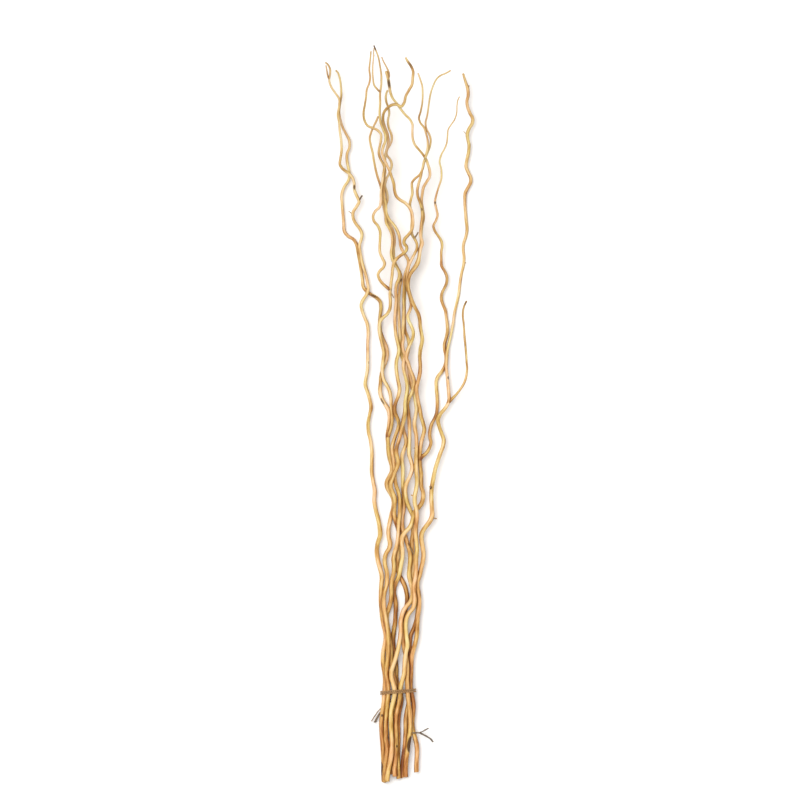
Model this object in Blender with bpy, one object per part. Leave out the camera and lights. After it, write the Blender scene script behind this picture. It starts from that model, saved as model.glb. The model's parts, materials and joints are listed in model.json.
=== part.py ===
"""Willow stems: nine peeled curly stems, tied near the cut ends with twine, lying on a surface.

The bundle lies along +Y, from the cut ends to the tips, and +Z is up from the surface at z = 0.
Every stem is a tapered tube along a hand-laid route. The bends of a route are given in plan, and its
height follows from a few chosen heights, the corkscrew turn of the wood and the room that each stem
needs where it crosses another one.
"""
import math

import bmesh
import bpy
import numpy as np

MM = 0.001

# Driving sizes, in millimetres
MIDDLE = np.array([5.0, 890.0])
SWELLING = 0.08
SWELLING_BEND = 45.0
TIE_Y = 218.0
TIE_TILT = 0.11
TWINE_RADIUS = 2.1
TWINE_PITCH = 4.6
TWINE_TURNS = 2
TWINE_SEAT = 0.45
TIED_REACH = 14.0
KNOT_RADIUS = 3.9
KNOT_X = -22.0
OUTLINE_ANGLES = 120
TWINE_SLACK = 0.1
TAIL_RADIUS = 1.7
FLAT_DEPTH = 0.35
HOVER = 0.3
REST_ZONES = {"stem_2": (1160.0, 1250.0, 1340.0), "stem_9": (1170.0, 1255.0, 1350.0)}

# How a route is drawn and how closely it is kept
STEP = 4.0
CHORD_SLACK = 0.8
LONGEST_FACET = 80.0
TIE_PINS = (-10.0, -5.0, 0.0, 5.0, 10.0)
CLEARANCE = 0.9
FORK_FREE = 48.0
CORKSCREW_PITCH = 26.0
HEIGHT_BLUR = 30.0
SLOPE_BLUR = 110.0
PUSH_WIDTHS = (26.0, 16.0, 9.0)
PUSH_ROUNDS = 70
STEM_BEVEL = 2
TWIG_BEVEL = 1

WOOD = (0.66, 0.43, 0.20)
PALE_WOOD = (0.74, 0.53, 0.29)
TWINE = (0.30, 0.20, 0.12)

# Bends of each stem in plan (x, y), from the cut end to the tip, chosen heights (y, z) and radii (y, radius)
ROUTES = {
    "stem_1": {
        "bends": [
            (-33, 0), (-34, 25), (-34, 55), (-36, 85), (-38, 115), (-39, 145), (-37, 165), (-34, 185),
            (-32, 205), (-31, 225), (-30, 245), (-31, 262), (-34, 280), (-35, 298), (-34, 315),
            (-30, 335), (-28, 352), (-30, 365), (-34, 382), (-37, 400), (-39, 420), (-40, 445),
            (-39, 475), (-38, 500), (-43, 520), (-48, 540), (-50, 560), (-48, 577), (-42, 597),
            (-43, 615), (-47, 637), (-53, 660), (-56, 680), (-55, 705), (-59, 728), (-62, 748),
            (-62, 775), (-62, 800), (-65, 825), (-70, 848), (-71, 868), (-67, 890), (-64, 907),
            (-67, 925), (-73, 945), (-78, 962), (-76, 978), (-73, 995), (-72, 1020), (-72, 1060),
            (-71, 1092), (-73, 1108), (-80, 1125), (-86, 1142), (-88, 1153), (-84, 1165), (-76, 1177),
            (-71, 1190), (-73, 1210), (-79, 1235), (-85, 1255), (-90, 1280), (-92, 1298), (-88, 1312),
            (-86, 1326), (-91, 1338), (-101, 1351), (-107, 1364), (-107, 1379), (-99, 1392),
            (-93, 1404), (-98, 1417), (-104, 1432), (-105, 1450), (-109, 1462), (-120, 1474),
            (-132, 1483), (-139, 1493), (-138, 1508), (-135, 1528), (-136, 1550), (-139, 1572),
            (-141, 1595), (-144, 1615), (-141, 1635), (-141, 1652), (-150, 1666), (-160, 1681),
            (-165, 1697), (-163, 1713), (-163, 1724), (-168, 1735), (-174, 1740),
        ],
        "heights": [(0, 15), (218, 16), (420, 15), (640, 13), (900, 13), (1187, 14), (1300, 14),
                    (1400, 24), (1600, 34), (1740, 46)],
        "radii": [(0, 5.6), (218, 5.4), (600, 5.1), (900, 4.3), (1080, 3.8), (1300, 3.4),
                  (1400, 3.5), (1600, 2.9), (1740, 2.1)],
    },
    "stem_2": {
        "bends": [
            (-30, 2), (-30, 28), (-27, 55), (-25, 80), (-27, 105), (-28, 130), (-27, 155), (-25, 180),
            (-23, 205), (-22, 225), (-24, 245), (-26, 265), (-25, 285), (-23, 305), (-23, 330),
            (-23, 350), (-25, 370), (-28, 390), (-31, 410), (-33, 430), (-33, 448), (-30, 463),
            (-26, 478), (-25, 495), (-26, 510), (-30, 525), (-31, 540), (-27, 554), (-20, 566),
            (-18, 577), (-21, 592), (-22, 610), (-19, 627), (-15, 645), (-11, 660), (-9, 675),
            (-11, 688), (-18, 700), (-25, 713), (-26, 724), (-20, 738), (-14, 750), (-14, 765),
            (-19, 782), (-22, 800), (-23, 820), (-24, 840), (-21, 860), (-19, 880), (-21, 898),
            (-30, 914), (-38, 928), (-42, 943), (-41, 965), (-39, 985), (-34, 1003), (-28, 1018),
            (-25, 1035), (-27, 1052), (-34, 1070), (-41, 1090), (-43, 1108), (-42, 1128), (-40, 1148),
            (-42, 1162), (-51, 1172), (-63, 1179), (-74, 1187), (-82, 1197), (-85, 1215), (-88, 1238),
            (-92, 1262), (-96, 1283), (-99, 1300), (-107, 1313), (-120, 1321), (-128, 1331),
            (-130, 1350), (-132, 1375), (-134, 1400), (-134, 1425), (-128, 1441), (-120, 1453),
            (-116, 1466), (-118, 1482), (-122, 1502), (-122, 1520), (-116, 1536), (-117, 1553),
            (-125, 1569), (-133, 1585), (-138, 1602), (-141, 1620), (-139, 1640), (-136, 1660),
            (-137, 1685), (-140, 1704), (-145, 1717), (-149, 1721),
        ],
        "heights": [(0, 21), (218, 21), (450, 22), (520, 16), (680, 18), (850, 17), (1000, 14),
                    (1100, 8), (1180, 2), (1300, 2), (1400, 8), (1466, 12), (1600, 20), (1721, 32)],
        "radii": [(0, 5.6), (218, 5.4), (600, 5), (900, 4.5), (1150, 4.1), (1320, 3.8), (1500, 3.1),
                  (1680, 2.4), (1721, 2)],
    },
    "stem_3": {
        "bends": [
            (-25, 3), (-23, 22), (-19, 42), (-15, 65), (-14, 90), (-15, 120), (-16, 150), (-15, 172),
            (-11, 192), (-7, 210), (-7, 225), (-11, 240), (-15, 255), (-15, 266), (-11, 280),
            (-6, 295), (-1, 312), (3, 330), (6, 348), (8, 366), (8, 385), (10, 400), (15, 415),
            (23, 426), (32, 437), (36, 450), (36, 466), (32, 482), (28, 500), (29, 518), (31, 537),
            (30, 555), (25, 573), (20, 590), (14, 606), (11, 622), (12, 642), (15, 662), (15, 685),
            (14, 705), (13, 722), (13, 740), (13, 757), (11, 775), (12, 792), (17, 807), (21, 820),
            (20, 832), (16, 845), (13, 858), (13, 872), (16, 888), (18, 905), (19, 922), (23, 938),
            (25, 955), (24, 972), (21, 990), (20, 1008), (22, 1025), (26, 1042), (28, 1058),
            (25, 1075), (19, 1090), (17, 1110), (17, 1135), (17, 1160), (18, 1185), (21, 1205),
            (27, 1222), (36, 1239), (45, 1253), (51, 1268), (53, 1285), (57, 1302), (57, 1322),
            (59, 1345), (63, 1365), (61, 1385), (58, 1403), (60, 1422), (63, 1438), (71, 1452),
            (78, 1464), (78, 1478), (74, 1492), (69, 1506), (61, 1518), (51, 1530), (42, 1541),
            (37, 1555), (36, 1573), (36, 1590), (30, 1602), (19, 1613), (7, 1628), (-2, 1641),
            (-11, 1652), (-17, 1667), (-20, 1685), (-23, 1703), (-27, 1717),
        ],
        "heights": [(0, 22), (218, 24), (430, 24), (560, 20), (606, 13), (700, 22), (800, 28),
                    (850, 24), (920, 20), (1050, 26), (1200, 34), (1300, 40), (1390, 54), (1506, 86),
                    (1640, 110), (1717, 126)],
        "radii": [(0, 5.6), (218, 5.4), (600, 5), (900, 4.3), (1200, 3.7), (1440, 3.3), (1560, 2.7),
                  (1650, 2.8), (1690, 3.8), (1717, 3.5)],
    },
    "stem_4": {
        "bends": [
            (-6, 14), (-7, 35), (-5, 60), (-4, 88), (-4, 115), (-4, 140), (-3, 160), (1, 180),
            (5, 198), (7, 215), (8, 232), (12, 247), (16, 262), (17, 280), (18, 298), (21, 315),
            (24, 332), (22, 350), (20, 368), (20, 385), (23, 399), (29, 410), (37, 420), (41, 434),
            (41, 450), (39, 466), (41, 483), (44, 500), (45, 520), (45, 540), (47, 560), (46, 580),
            (44, 600), (45, 620), (47, 640), (46, 658), (42, 675), (42, 692), (45, 708), (47, 725),
            (46, 745), (45, 765), (45, 785), (46, 805), (46, 825), (45, 842), (42, 857), (41, 870),
            (44, 886), (46, 902), (44, 920), (41, 935), (37, 948), (33, 963), (30, 978), (26, 992),
            (20, 1006), (14, 1020), (9, 1035), (7, 1050), (6, 1070), (5, 1090), (4, 1112), (3, 1138),
            (2, 1162), (4, 1182), (6, 1202), (9, 1217), (6, 1232), (0, 1244), (-6, 1257), (-9, 1272),
            (-9, 1290), (-7, 1305), (-8, 1320), (-12, 1335), (-18, 1348), (-25, 1360), (-28, 1375),
            (-28, 1395), (-24, 1411), (-26, 1427), (-30, 1443), (-27, 1458), (-21, 1470),
            (-16, 1483), (-14, 1494), (-18, 1506), (-26, 1517), (-25, 1529), (-19, 1540),
            (-14, 1552), (-15, 1567), (-21, 1582), (-23, 1600), (-20, 1617), (-22, 1631),
            (-27, 1645), (-28, 1660), (-24, 1672),
        ],
        "heights": [(0, 20), (218, 22), (400, 22), (640, 28), (760, 30), (880, 22), (950, 14),
                    (1010, 12), (1100, 18), (1200, 22), (1300, 24), (1400, 30), (1480, 46),
                    (1560, 58), (1672, 74)],
        "radii": [(0, 5.6), (218, 5.4), (600, 5), (900, 4.4), (1200, 3.7), (1400, 3.1),
                  (1672, 2.3)],
    },
    "stem_5": {
        "bends": [
            (-13, 20), (-12, 50), (-11, 85), (-10, 120), (-10, 150), (-9, 178), (-7, 200), (-6, 218),
            (-6, 235), (-8, 250), (-12, 266), (-15, 283), (-16, 305), (-17, 330), (-20, 352),
            (-23, 372), (-26, 390), (-26, 405), (-21, 420), (-17, 435), (-15, 452), (-15, 472),
            (-13, 490), (-9, 507), (-9, 525), (-10, 540), (-7, 555), (-2, 570), (1, 588), (2, 605),
            (3, 625), (5, 645), (6, 665), (5, 685), (2, 702), (-3, 716), (-6, 730), (-7, 747),
            (-7, 763), (-9, 780), (-12, 797), (-12, 813), (-8, 828), (-3, 843), (2, 857), (3, 869),
            (-1, 881), (-6, 893), (-7, 907), (-3, 921), (2, 934), (5, 950), (2, 968), (-1, 985),
            (-3, 1003), (-2, 1020), (2, 1034), (4, 1047), (1, 1062), (-3, 1078), (-5, 1095),
            (-6, 1115), (-5, 1140), (-3, 1165), (-4, 1188), (-2, 1204), (3, 1216), (5, 1228),
            (1, 1241), (-6, 1252), (-12, 1264), (-15, 1280), (-13, 1296), (-12, 1312), (-15, 1328),
            (-21, 1341), (-27, 1352), (-29, 1370), (-33, 1390), (-37, 1410), (-38, 1428),
            (-42, 1446), (-48, 1463), (-53, 1483), (-57, 1503), (-60, 1522), (-65, 1542),
            (-67, 1558), (-63, 1573), (-57, 1587), (-51, 1599), (-47, 1609),
        ],
        "heights": [(0, 9), (218, 9), (300, 12), (440, 14), (560, 20), (640, 26), (720, 28),
                    (800, 22), (900, 28), (1050, 28), (1130, 26), (1220, 34), (1340, 40),
                    (1430, 38), (1500, 42), (1609, 52)],
        "radii": [(0, 5.6), (218, 5.4), (600, 5), (900, 4.3), (1200, 3.7), (1400, 3.1),
                  (1609, 2.4)],
    },
    "stem_6": {
        "bends": [
            (3, 8), (2, 30), (1, 52), (1, 75), (2, 100), (2, 125), (2, 148), (4, 168), (8, 188),
            (9, 205), (5, 220), (0, 235), (-3, 252), (-3, 275), (-5, 298), (-9, 320), (-11, 343),
            (-9, 365), (-6, 385), (-5, 405), (-4, 423), (-5, 440), (-8, 454), (-8, 468), (-4, 482),
            (2, 495), (6, 510), (9, 527), (12, 545), (12, 562), (10, 578), (12, 593), (19, 605),
            (28, 614), (34, 625), (38, 640), (43, 655), (51, 664), (58, 674), (62, 688), (62, 700),
            (58, 713), (57, 728), (57, 745), (55, 765), (54, 785), (55, 803), (57, 820), (62, 838),
            (65, 852), (62, 868), (57, 885), (54, 902), (50, 920), (47, 938), (46, 953), (50, 970),
            (54, 988), (55, 1008), (54, 1030), (56, 1050), (60, 1069), (58, 1085), (55, 1102),
            (54, 1118), (50, 1133), (43, 1147), (37, 1160), (31, 1177), (26, 1195), (26, 1212),
            (31, 1228), (41, 1241), (50, 1255), (53, 1272), (56, 1290), (60, 1303), (56, 1320),
            (57, 1345), (60, 1367), (59, 1385), (54, 1403), (49, 1417), (48, 1430), (51, 1446),
            (56, 1463), (60, 1482), (64, 1500), (69, 1516), (73, 1533), (73, 1552), (69, 1569),
            (64, 1583), (56, 1593), (52, 1604), (56, 1621), (60, 1642), (61, 1664), (60, 1682),
            (55, 1699), (50, 1713),
        ],
        "heights": [(0, 12), (100, 10), (218, 9), (400, 10), (500, 18), (600, 26), (640, 16),
                    (690, 22), (785, 26), (930, 34), (1100, 44), (1250, 56), (1400, 66),
                    (1500, 76), (1713, 102)],
        "radii": [(0, 5.6), (218, 5.4), (600, 5), (1000, 4.7), (1200, 4), (1400, 3.3), (1600, 2.3),
                  (1713, 2.1)],
    },
    "stem_7": {
        "bends": [
            (20, 12), (20, 32), (21, 52), (24, 75), (27, 97), (30, 120), (31, 145), (30, 168),
            (27, 190), (25, 210), (24, 228), (23, 248), (24, 268), (23, 288), (20, 306), (16, 325),
            (13, 345), (13, 365), (15, 385), (17, 402), (20, 418), (23, 435), (23, 450), (20, 466),
            (15, 480), (8, 494), (2, 507), (-1, 523), (0, 543), (2, 562), (4, 582), (4, 600),
            (0, 617), (-5, 633), (-8, 650), (-7, 668), (-6, 685), (-11, 699), (-16, 711),
            (-16, 723), (-12, 735), (-8, 747), (-2, 759), (2, 771), (0, 785), (-3, 799), (-1, 813),
            (3, 826), (7, 840), (10, 853), (13, 866), (17, 881), (19, 898), (18, 915), (20, 930),
            (23, 946), (23, 962), (20, 978), (16, 993), (14, 1008), (16, 1021), (18, 1032),
            (14, 1044), (12, 1056), (14, 1070), (13, 1088), (14, 1108), (15, 1135), (15, 1165),
            (16, 1195), (17, 1220), (21, 1237), (26, 1250), (26, 1262), (20, 1273), (13, 1284),
            (8, 1295), (6, 1308), (4, 1322), (-1, 1335), (-10, 1349), (-20, 1361), (-26, 1373),
            (-28, 1392), (-31, 1412), (-33, 1432), (-33, 1450), (-31, 1466), (-30, 1480),
            (-34, 1494), (-41, 1507), (-45, 1521), (-43, 1537), (-40, 1552), (-40, 1566),
            (-48, 1576), (-61, 1582), (-72, 1587), (-79, 1598), (-82, 1616), (-79, 1637),
            (-76, 1656), (-74, 1675), (-68, 1690), (-66, 1703), (-68, 1722), (-66, 1745),
            (-64, 1766),
        ],
        "heights": [(0, 20), (218, 21), (300, 18), (345, 12), (430, 10), (560, 9), (650, 10),
                    (690, 16), (720, 34), (860, 34), (950, 32), (1020, 34), (1100, 34),
                    (1200, 42), (1290, 46), (1370, 52), (1480, 60), (1600, 74), (1766, 98)],
        "radii": [(0, 5.6), (218, 5.4), (600, 5), (900, 4.3), (1200, 3.7), (1400, 3.2), (1620, 2.6),
                  (1766, 2)],
    },
    "stem_8": {
        "bends": [
            (12, 10), (12, 32), (14, 55), (17, 80), (19, 105), (20, 130), (20, 152), (23, 172),
            (27, 192), (29, 210), (28, 228), (27, 248), (28, 270), (29, 292), (30, 315), (30, 338),
            (32, 354), (37, 366), (42, 379), (46, 392), (48, 406), (49, 422), (48, 440),
            (46, 458), (42, 475),
            (37, 492), (36, 512), (37, 535), (36, 558), (35, 580), (37, 600), (39, 617), (40, 632),
            (37, 645), (31, 657), (26, 669), (22, 683), (19, 698), (19, 712), (23, 725), (29, 737),
            (34, 750), (36, 763), (33, 776), (29, 790), (28, 808), (29, 830), (29, 855), (28, 878),
            (26, 898), (24, 915), (28, 929), (34, 940), (39, 953), (41, 966), (38, 981), (32, 996),
            (27, 1011), (22, 1025), (23, 1040), (27, 1052), (33, 1064), (38, 1078), (38, 1090),
            (33, 1104), (27, 1116), (25, 1129), (30, 1141), (33, 1153), (31, 1168), (27, 1183),
            (23, 1200), (23, 1216), (25, 1233), (28, 1249), (34, 1263), (41, 1277), (47, 1290),
            (47, 1301), (42, 1313), (35, 1325), (34, 1342), (35, 1362), (33, 1381), (30, 1396),
            (33, 1411), (36, 1424), (35, 1438), (35, 1449), (42, 1459), (53, 1468), (60, 1481),
            (64, 1496), (68, 1511), (74, 1525), (79, 1540), (80, 1555), (76, 1568), (70, 1579),
            (68, 1592), (72, 1612), (76, 1640), (80, 1664), (87, 1685), (95, 1700), (104, 1708),
            (116, 1713), (128, 1720),
        ],
        "heights": [(0, 9), (218, 9), (370, 10), (500, 10), (600, 14), (640, 14), (700, 24),
                    (780, 28), (900, 30), (960, 34), (1020, 36), (1080, 46), (1150, 52),
                    (1216, 46), (1300, 50), (1400, 56), (1500, 66), (1600, 84), (1720, 110)],
        "radii": [(0, 5.6), (218, 5.4), (600, 5), (900, 4.3), (1200, 3.7), (1400, 3), (1600, 2.1),
                  (1720, 1.9)],
    },
    "stem_9": {
        "bends": [
            (46, 24), (46, 45), (47, 65), (47, 85), (43, 105), (38, 125), (36, 145), (38, 165),
            (39, 185), (37, 203), (33, 220), (32, 240), (33, 262), (34, 285), (35, 303), (39, 321),
            (44, 340), (47, 360), (48, 380), (49, 400), (52, 420), (53, 440), (51, 458), (48, 472),
            (48, 484), (53, 498), (57, 515), (61, 532), (63, 550), (61, 568), (58, 585), (59, 602),
            (67, 616), (77, 629), (83, 642), (83, 665), (82, 690), (83, 712), (87, 735), (91, 755),
            (97, 775), (103, 793), (110, 812), (112, 827), (107, 843), (101, 860), (98, 876),
            (103, 889), (112, 900), (120, 911), (125, 925), (124, 942), (122, 965), (120, 985),
            (118, 1003), (119, 1025), (121, 1047), (126, 1068), (131, 1090), (135, 1112),
            (138, 1135), (143, 1157), (148, 1180), (151, 1205), (155, 1230), (160, 1252),
            (161, 1270), (159, 1288), (160, 1303), (165, 1318), (168, 1336), (166, 1360),
            (164, 1385), (163, 1408), (164, 1425), (171, 1439), (177, 1451), (177, 1462),
            (171, 1475), (166, 1489), (168, 1505), (172, 1524), (173, 1541), (170, 1556),
            (169, 1568), (174, 1582), (181, 1594), (182, 1604), (176, 1617), (170, 1632),
            (168, 1646), (171, 1661), (170, 1677), (165, 1693), (159, 1713),
        ],
        "heights": [(0, 16), (218, 18), (450, 18), (560, 22), (640, 26), (800, 26), (880, 24),
                    (1000, 16), (1100, 8), (1200, 2), (1310, 2), (1400, 8), (1500, 14),
                    (1600, 22), (1713, 34)],
        "radii": [(0, 5.6), (218, 5.4), (600, 5.3), (800, 4.7), (960, 4.1), (1100, 3.3),
                  (1300, 3.3), (1440, 3.8), (1680, 3.7), (1713, 2.8)],
    },
}

# Side branches, each from a point on its parent's line
BRANCHES = {
    "stem_2_side": {
        "parent": "stem_2",
        "bends": [
            (-23, 835), (-18, 850), (-14, 868), (-13, 888), (-15, 908), (-16, 928), (-19, 945),
            (-26, 960), (-33, 972), (-36, 985), (-37, 1000), (-35, 1018), (-33, 1038), (-37, 1058),
            (-42, 1080), (-44, 1100), (-41, 1116), (-34, 1124), (-25, 1132), (-19, 1143),
            (-17, 1160), (-18, 1180), (-16, 1203), (-13, 1225), (-11, 1245), (-7, 1259), (3, 1270),
            (14, 1278), (22, 1287), (22, 1295), (16, 1303), (17, 1312), (25, 1322), (33, 1332),
            (37, 1347), (37, 1363), (34, 1379), (28, 1391), (18, 1401), (6, 1408), (-3, 1417),
            (-7, 1430), (-9, 1447), (-14, 1463), (-19, 1478), (-26, 1493), (-33, 1508),
            (-37, 1522), (-34, 1537), (-29, 1550), (-29, 1563), (-34, 1577), (-40, 1593),
            (-43, 1613), (-42, 1640), (-42, 1665), (-39, 1688), (-39, 1708), (-42, 1730),
            (-47, 1755), (-54, 1773), (-57, 1780),
        ],
        "heights": [(835, 17), (900, 20), (980, 24), (1100, 30), (1180, 44), (1270, 58),
                    (1340, 70), (1420, 82), (1520, 92), (1650, 108), (1780, 128)],
        "radii": [(835, 4.1), (1100, 3.9), (1400, 3.6), (1520, 3.1), (1650, 2.6), (1780, 1.8)],
    },
    "stem_2_fork": {
        "parent": "stem_2_side",
        "bends": [
            (-18, 1190), (-26, 1197), (-35, 1205), (-44, 1217), (-47, 1228), (-42, 1237),
            (-34, 1245), (-31, 1254), (-36, 1266), (-42, 1280), (-43, 1297), (-42, 1315),
            (-42, 1332), (-48, 1346), (-57, 1357), (-59, 1369), (-53, 1381), (-43, 1391),
            (-40, 1405), (-40, 1422), (-38, 1440), (-36, 1455), (-34, 1472), (-31, 1488),
            (-30, 1504), (-29, 1519), (-25, 1534), (-22, 1550), (-24, 1566), (-30, 1583),
            (-35, 1602), (-33, 1618), (-25, 1629), (-13, 1637), (-2, 1638), (9, 1633), (16, 1642),
            (20, 1658), (28, 1673), (35, 1686), (37, 1703), (38, 1717), (32, 1732), (25, 1742),
            (20, 1751),
        ],
        "heights": [(1190, 45), (1240, 42), (1330, 46), (1400, 54), (1480, 68), (1560, 80),
                    (1638, 98), (1751, 120)],
        "radii": [(1190, 3.4), (1400, 3.1), (1500, 2.9), (1640, 3.1), (1740, 3.2), (1751, 2.2)],
    },
    "stem_2_loop": {
        "parent": "stem_2_side",
        "bends": [
            (-42, 1668), (-49, 1675), (-56, 1684), (-59, 1700), (-60, 1720), (-59, 1740),
            (-57, 1757),
        ],
        "heights": [(1668, 110), (1757, 116)],
        "radii": [(1668, 2), (1757, 1.6)],
    },
    "stem_6_side": {
        "parent": "stem_6",
        "bends": [
            (54, 778), (58, 786), (66, 792), (73, 800), (78, 810), (81, 821), (78, 835), (79, 853),
            (83, 867), (89, 878), (94, 890), (96, 905), (96, 930), (94, 955), (94, 970), (98, 981),
            (106, 991), (113, 1002), (117, 1015), (117, 1032), (114, 1047), (114, 1060),
            (118, 1075), (121, 1092), (120, 1110), (118, 1125), (116, 1140), (110, 1155),
            (106, 1170), (108, 1184), (114, 1196), (119, 1209), (119, 1224), (114, 1236),
            (107, 1248), (106, 1265), (106, 1283), (108, 1297), (106, 1309), (98, 1322),
            (90, 1334), (87, 1345), (93, 1358), (97, 1371), (94, 1386), (91, 1402), (94, 1420),
            (100, 1440), (106, 1460), (106, 1480), (102, 1502), (106, 1517), (113, 1530),
            (119, 1545), (121, 1562), (123, 1579), (130, 1590), (138, 1602), (143, 1618),
            (144, 1636), (146, 1649), (150, 1657),
        ],
        "heights": [(778, 25), (850, 18), (890, 12), (1015, 6), (1100, 8), (1225, 16),
                    (1400, 38), (1657, 74)],
        "radii": [(778, 3.9), (960, 3.9), (1200, 3.4), (1320, 3.1), (1440, 2.4), (1560, 1.8),
                  (1657, 1.3)],
    },
    "stem_9_side": {
        "parent": "stem_9",
        "bends": [
            (124, 918), (132, 927), (141, 936), (151, 949), (159, 961), (165, 976), (168, 995),
            (167, 1020), (165, 1048), (162, 1080), (160, 1110), (158, 1130), (160, 1147),
            (167, 1163),
        ],
        "heights": [(918, 22), (1000, 34), (1163, 60)],
        "radii": [(918, 3.1), (1000, 2.7), (1080, 2.8), (1163, 2.2)],
    },
    "stem_1_fork": {
        "parent": "stem_1",
        "bends": [(-165, 1699), (-169, 1710), (-171, 1722), (-173, 1733)],
        "heights": [(1699, 42), (1733, 34)],
        "radii": [(1699, 2), (1733, 1.5)],
    },
    "stem_3_fork": {
        "parent": "stem_3",
        "bends": [(-22, 1700), (-21, 1714), (-26, 1727), (-33, 1740), (-38, 1752)],
        "heights": [(1700, 122), (1752, 140)],
        "radii": [(1700, 2.2), (1752, 1.5)],
    },
}

# Short twigs, stubs and buds, by the stem they grow from: foot radius, tip radius, points (x, y, rise)
SPURS = {
    "stem_7": [
        (1.9, 1.7, [(31, 119, 0), (40, 119, 2), (48, 119, 3), (56, 119, 3)]),
        (1.4, 1.6, [(53, 119, 3), (62, 123, 4), (69, 127, 4), (75, 130, 3)]),
        (2.0, 1.9, [(53, 119, 3), (62, 115, 2), (71, 110, 0), (80, 104, -2), (86, 97, -3)]),
    ],
    "stem_1": [
        (1.1, 1.3, [(-37, 180, 0), (-46, 172, -1), (-54, 161, -2), (-63, 147, -3)]),
        (2.1, 2.3, [(-38, 171, 0), (-45, 163, -3), (-50, 154, -5), (-55, 144, -6)]),
        (1.2, 0.9, [(-107, 1372, 0), (-113, 1377, 1), (-118, 1381, 2)]),
        (2.4, 1.6, [(-94, 1405, 0), (-90, 1412, 3), (-85, 1419, 5)]),
    ],
    "stem_2": [
        (1.5, 1.2, [(-27, 910, 0), (-34, 917, 4), (-40, 928, 6)]),
    ],
    "stem_2_side": [
        (1.5, 1.2, [(-17, 1185, 0), (-12, 1177, 3), (-9, 1171, 5)]),
    ],
    "stem_3": [
        (1.5, 1.2, [(25, 573, 0), (32, 564, 6), (39, 551, 7)]),
    ],
    "stem_4": [
        (2.2, 1.6, [(42, 692, 0), (37, 693, 2), (33, 694, 3)]),
        (1.8, 1.3, [(46, 808, 0), (42, 808, 3), (40, 808, 4)]),
    ],
    "stem_8": [
        (2.0, 1.6, [(40, 1314, 0), (45, 1321, 4), (50, 1330, 6)]),
    ],
    "stem_9": [
        (2.0, 1.3, [(83, 640, 0), (90, 638, 2), (95, 637, 3)]),
        (2.2, 1.8, [(83, 712, 0), (80, 713, 3), (78, 714, 5)]),
        (1.4, 1.0, [(160, 1256, 0), (164, 1256, 2), (166, 1256, 3)]),
        (1.1, 0.8, [(169, 1566, 0), (164, 1570, 1), (160, 1574, 2)]),
        (1.7, 1.3, [(170, 1676, 0), (172, 1681, 1), (173, 1685, 2)]),
    ],
}


def smooth_line(points, step):
    """Points every step along a smooth curve through the given points (parabolic tangents, cubic pieces)."""
    points = np.asarray(points, float)
    knots = np.concatenate([[0.0], np.cumsum(np.linalg.norm(np.diff(points, axis=0), axis=1))])
    slopes = np.diff(points, axis=0) / np.diff(knots)[:, None]
    tangents = np.empty_like(points)
    before, after = np.diff(knots)[:-1, None], np.diff(knots)[1:, None]
    tangents[1:-1] = (slopes[:-1] * after + slopes[1:] * before) / (before + after)
    tangents[0] = 2 * slopes[0] - tangents[1] if len(points) > 2 else slopes[0]
    tangents[-1] = 2 * slopes[-1] - tangents[-2] if len(points) > 2 else slopes[-1]
    at = np.linspace(0.0, knots[-1], max(3, int(round(knots[-1] / step)) + 1))
    piece = np.clip(np.searchsorted(knots, at, side="right") - 1, 0, len(points) - 2)
    width = (knots[piece + 1] - knots[piece])[:, None]
    t = (at[:, None] - knots[piece][:, None]) / width
    return (
        (2 * t**3 - 3 * t**2 + 1) * points[piece]
        + (t**3 - 2 * t**2 + t) * width * tangents[piece]
        + (3 * t**2 - 2 * t**3) * points[piece + 1]
        + (t**3 - t**2) * width * tangents[piece + 1]
    )


def blur_matrix(along, width):
    """Weights of a bell-shaped mean over the neighbours along a line."""
    weights = np.exp(-0.5 * ((along[:, None] - along[None, :]) / width) ** 2)
    return weights / weights.sum(axis=1, keepdims=True)


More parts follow.
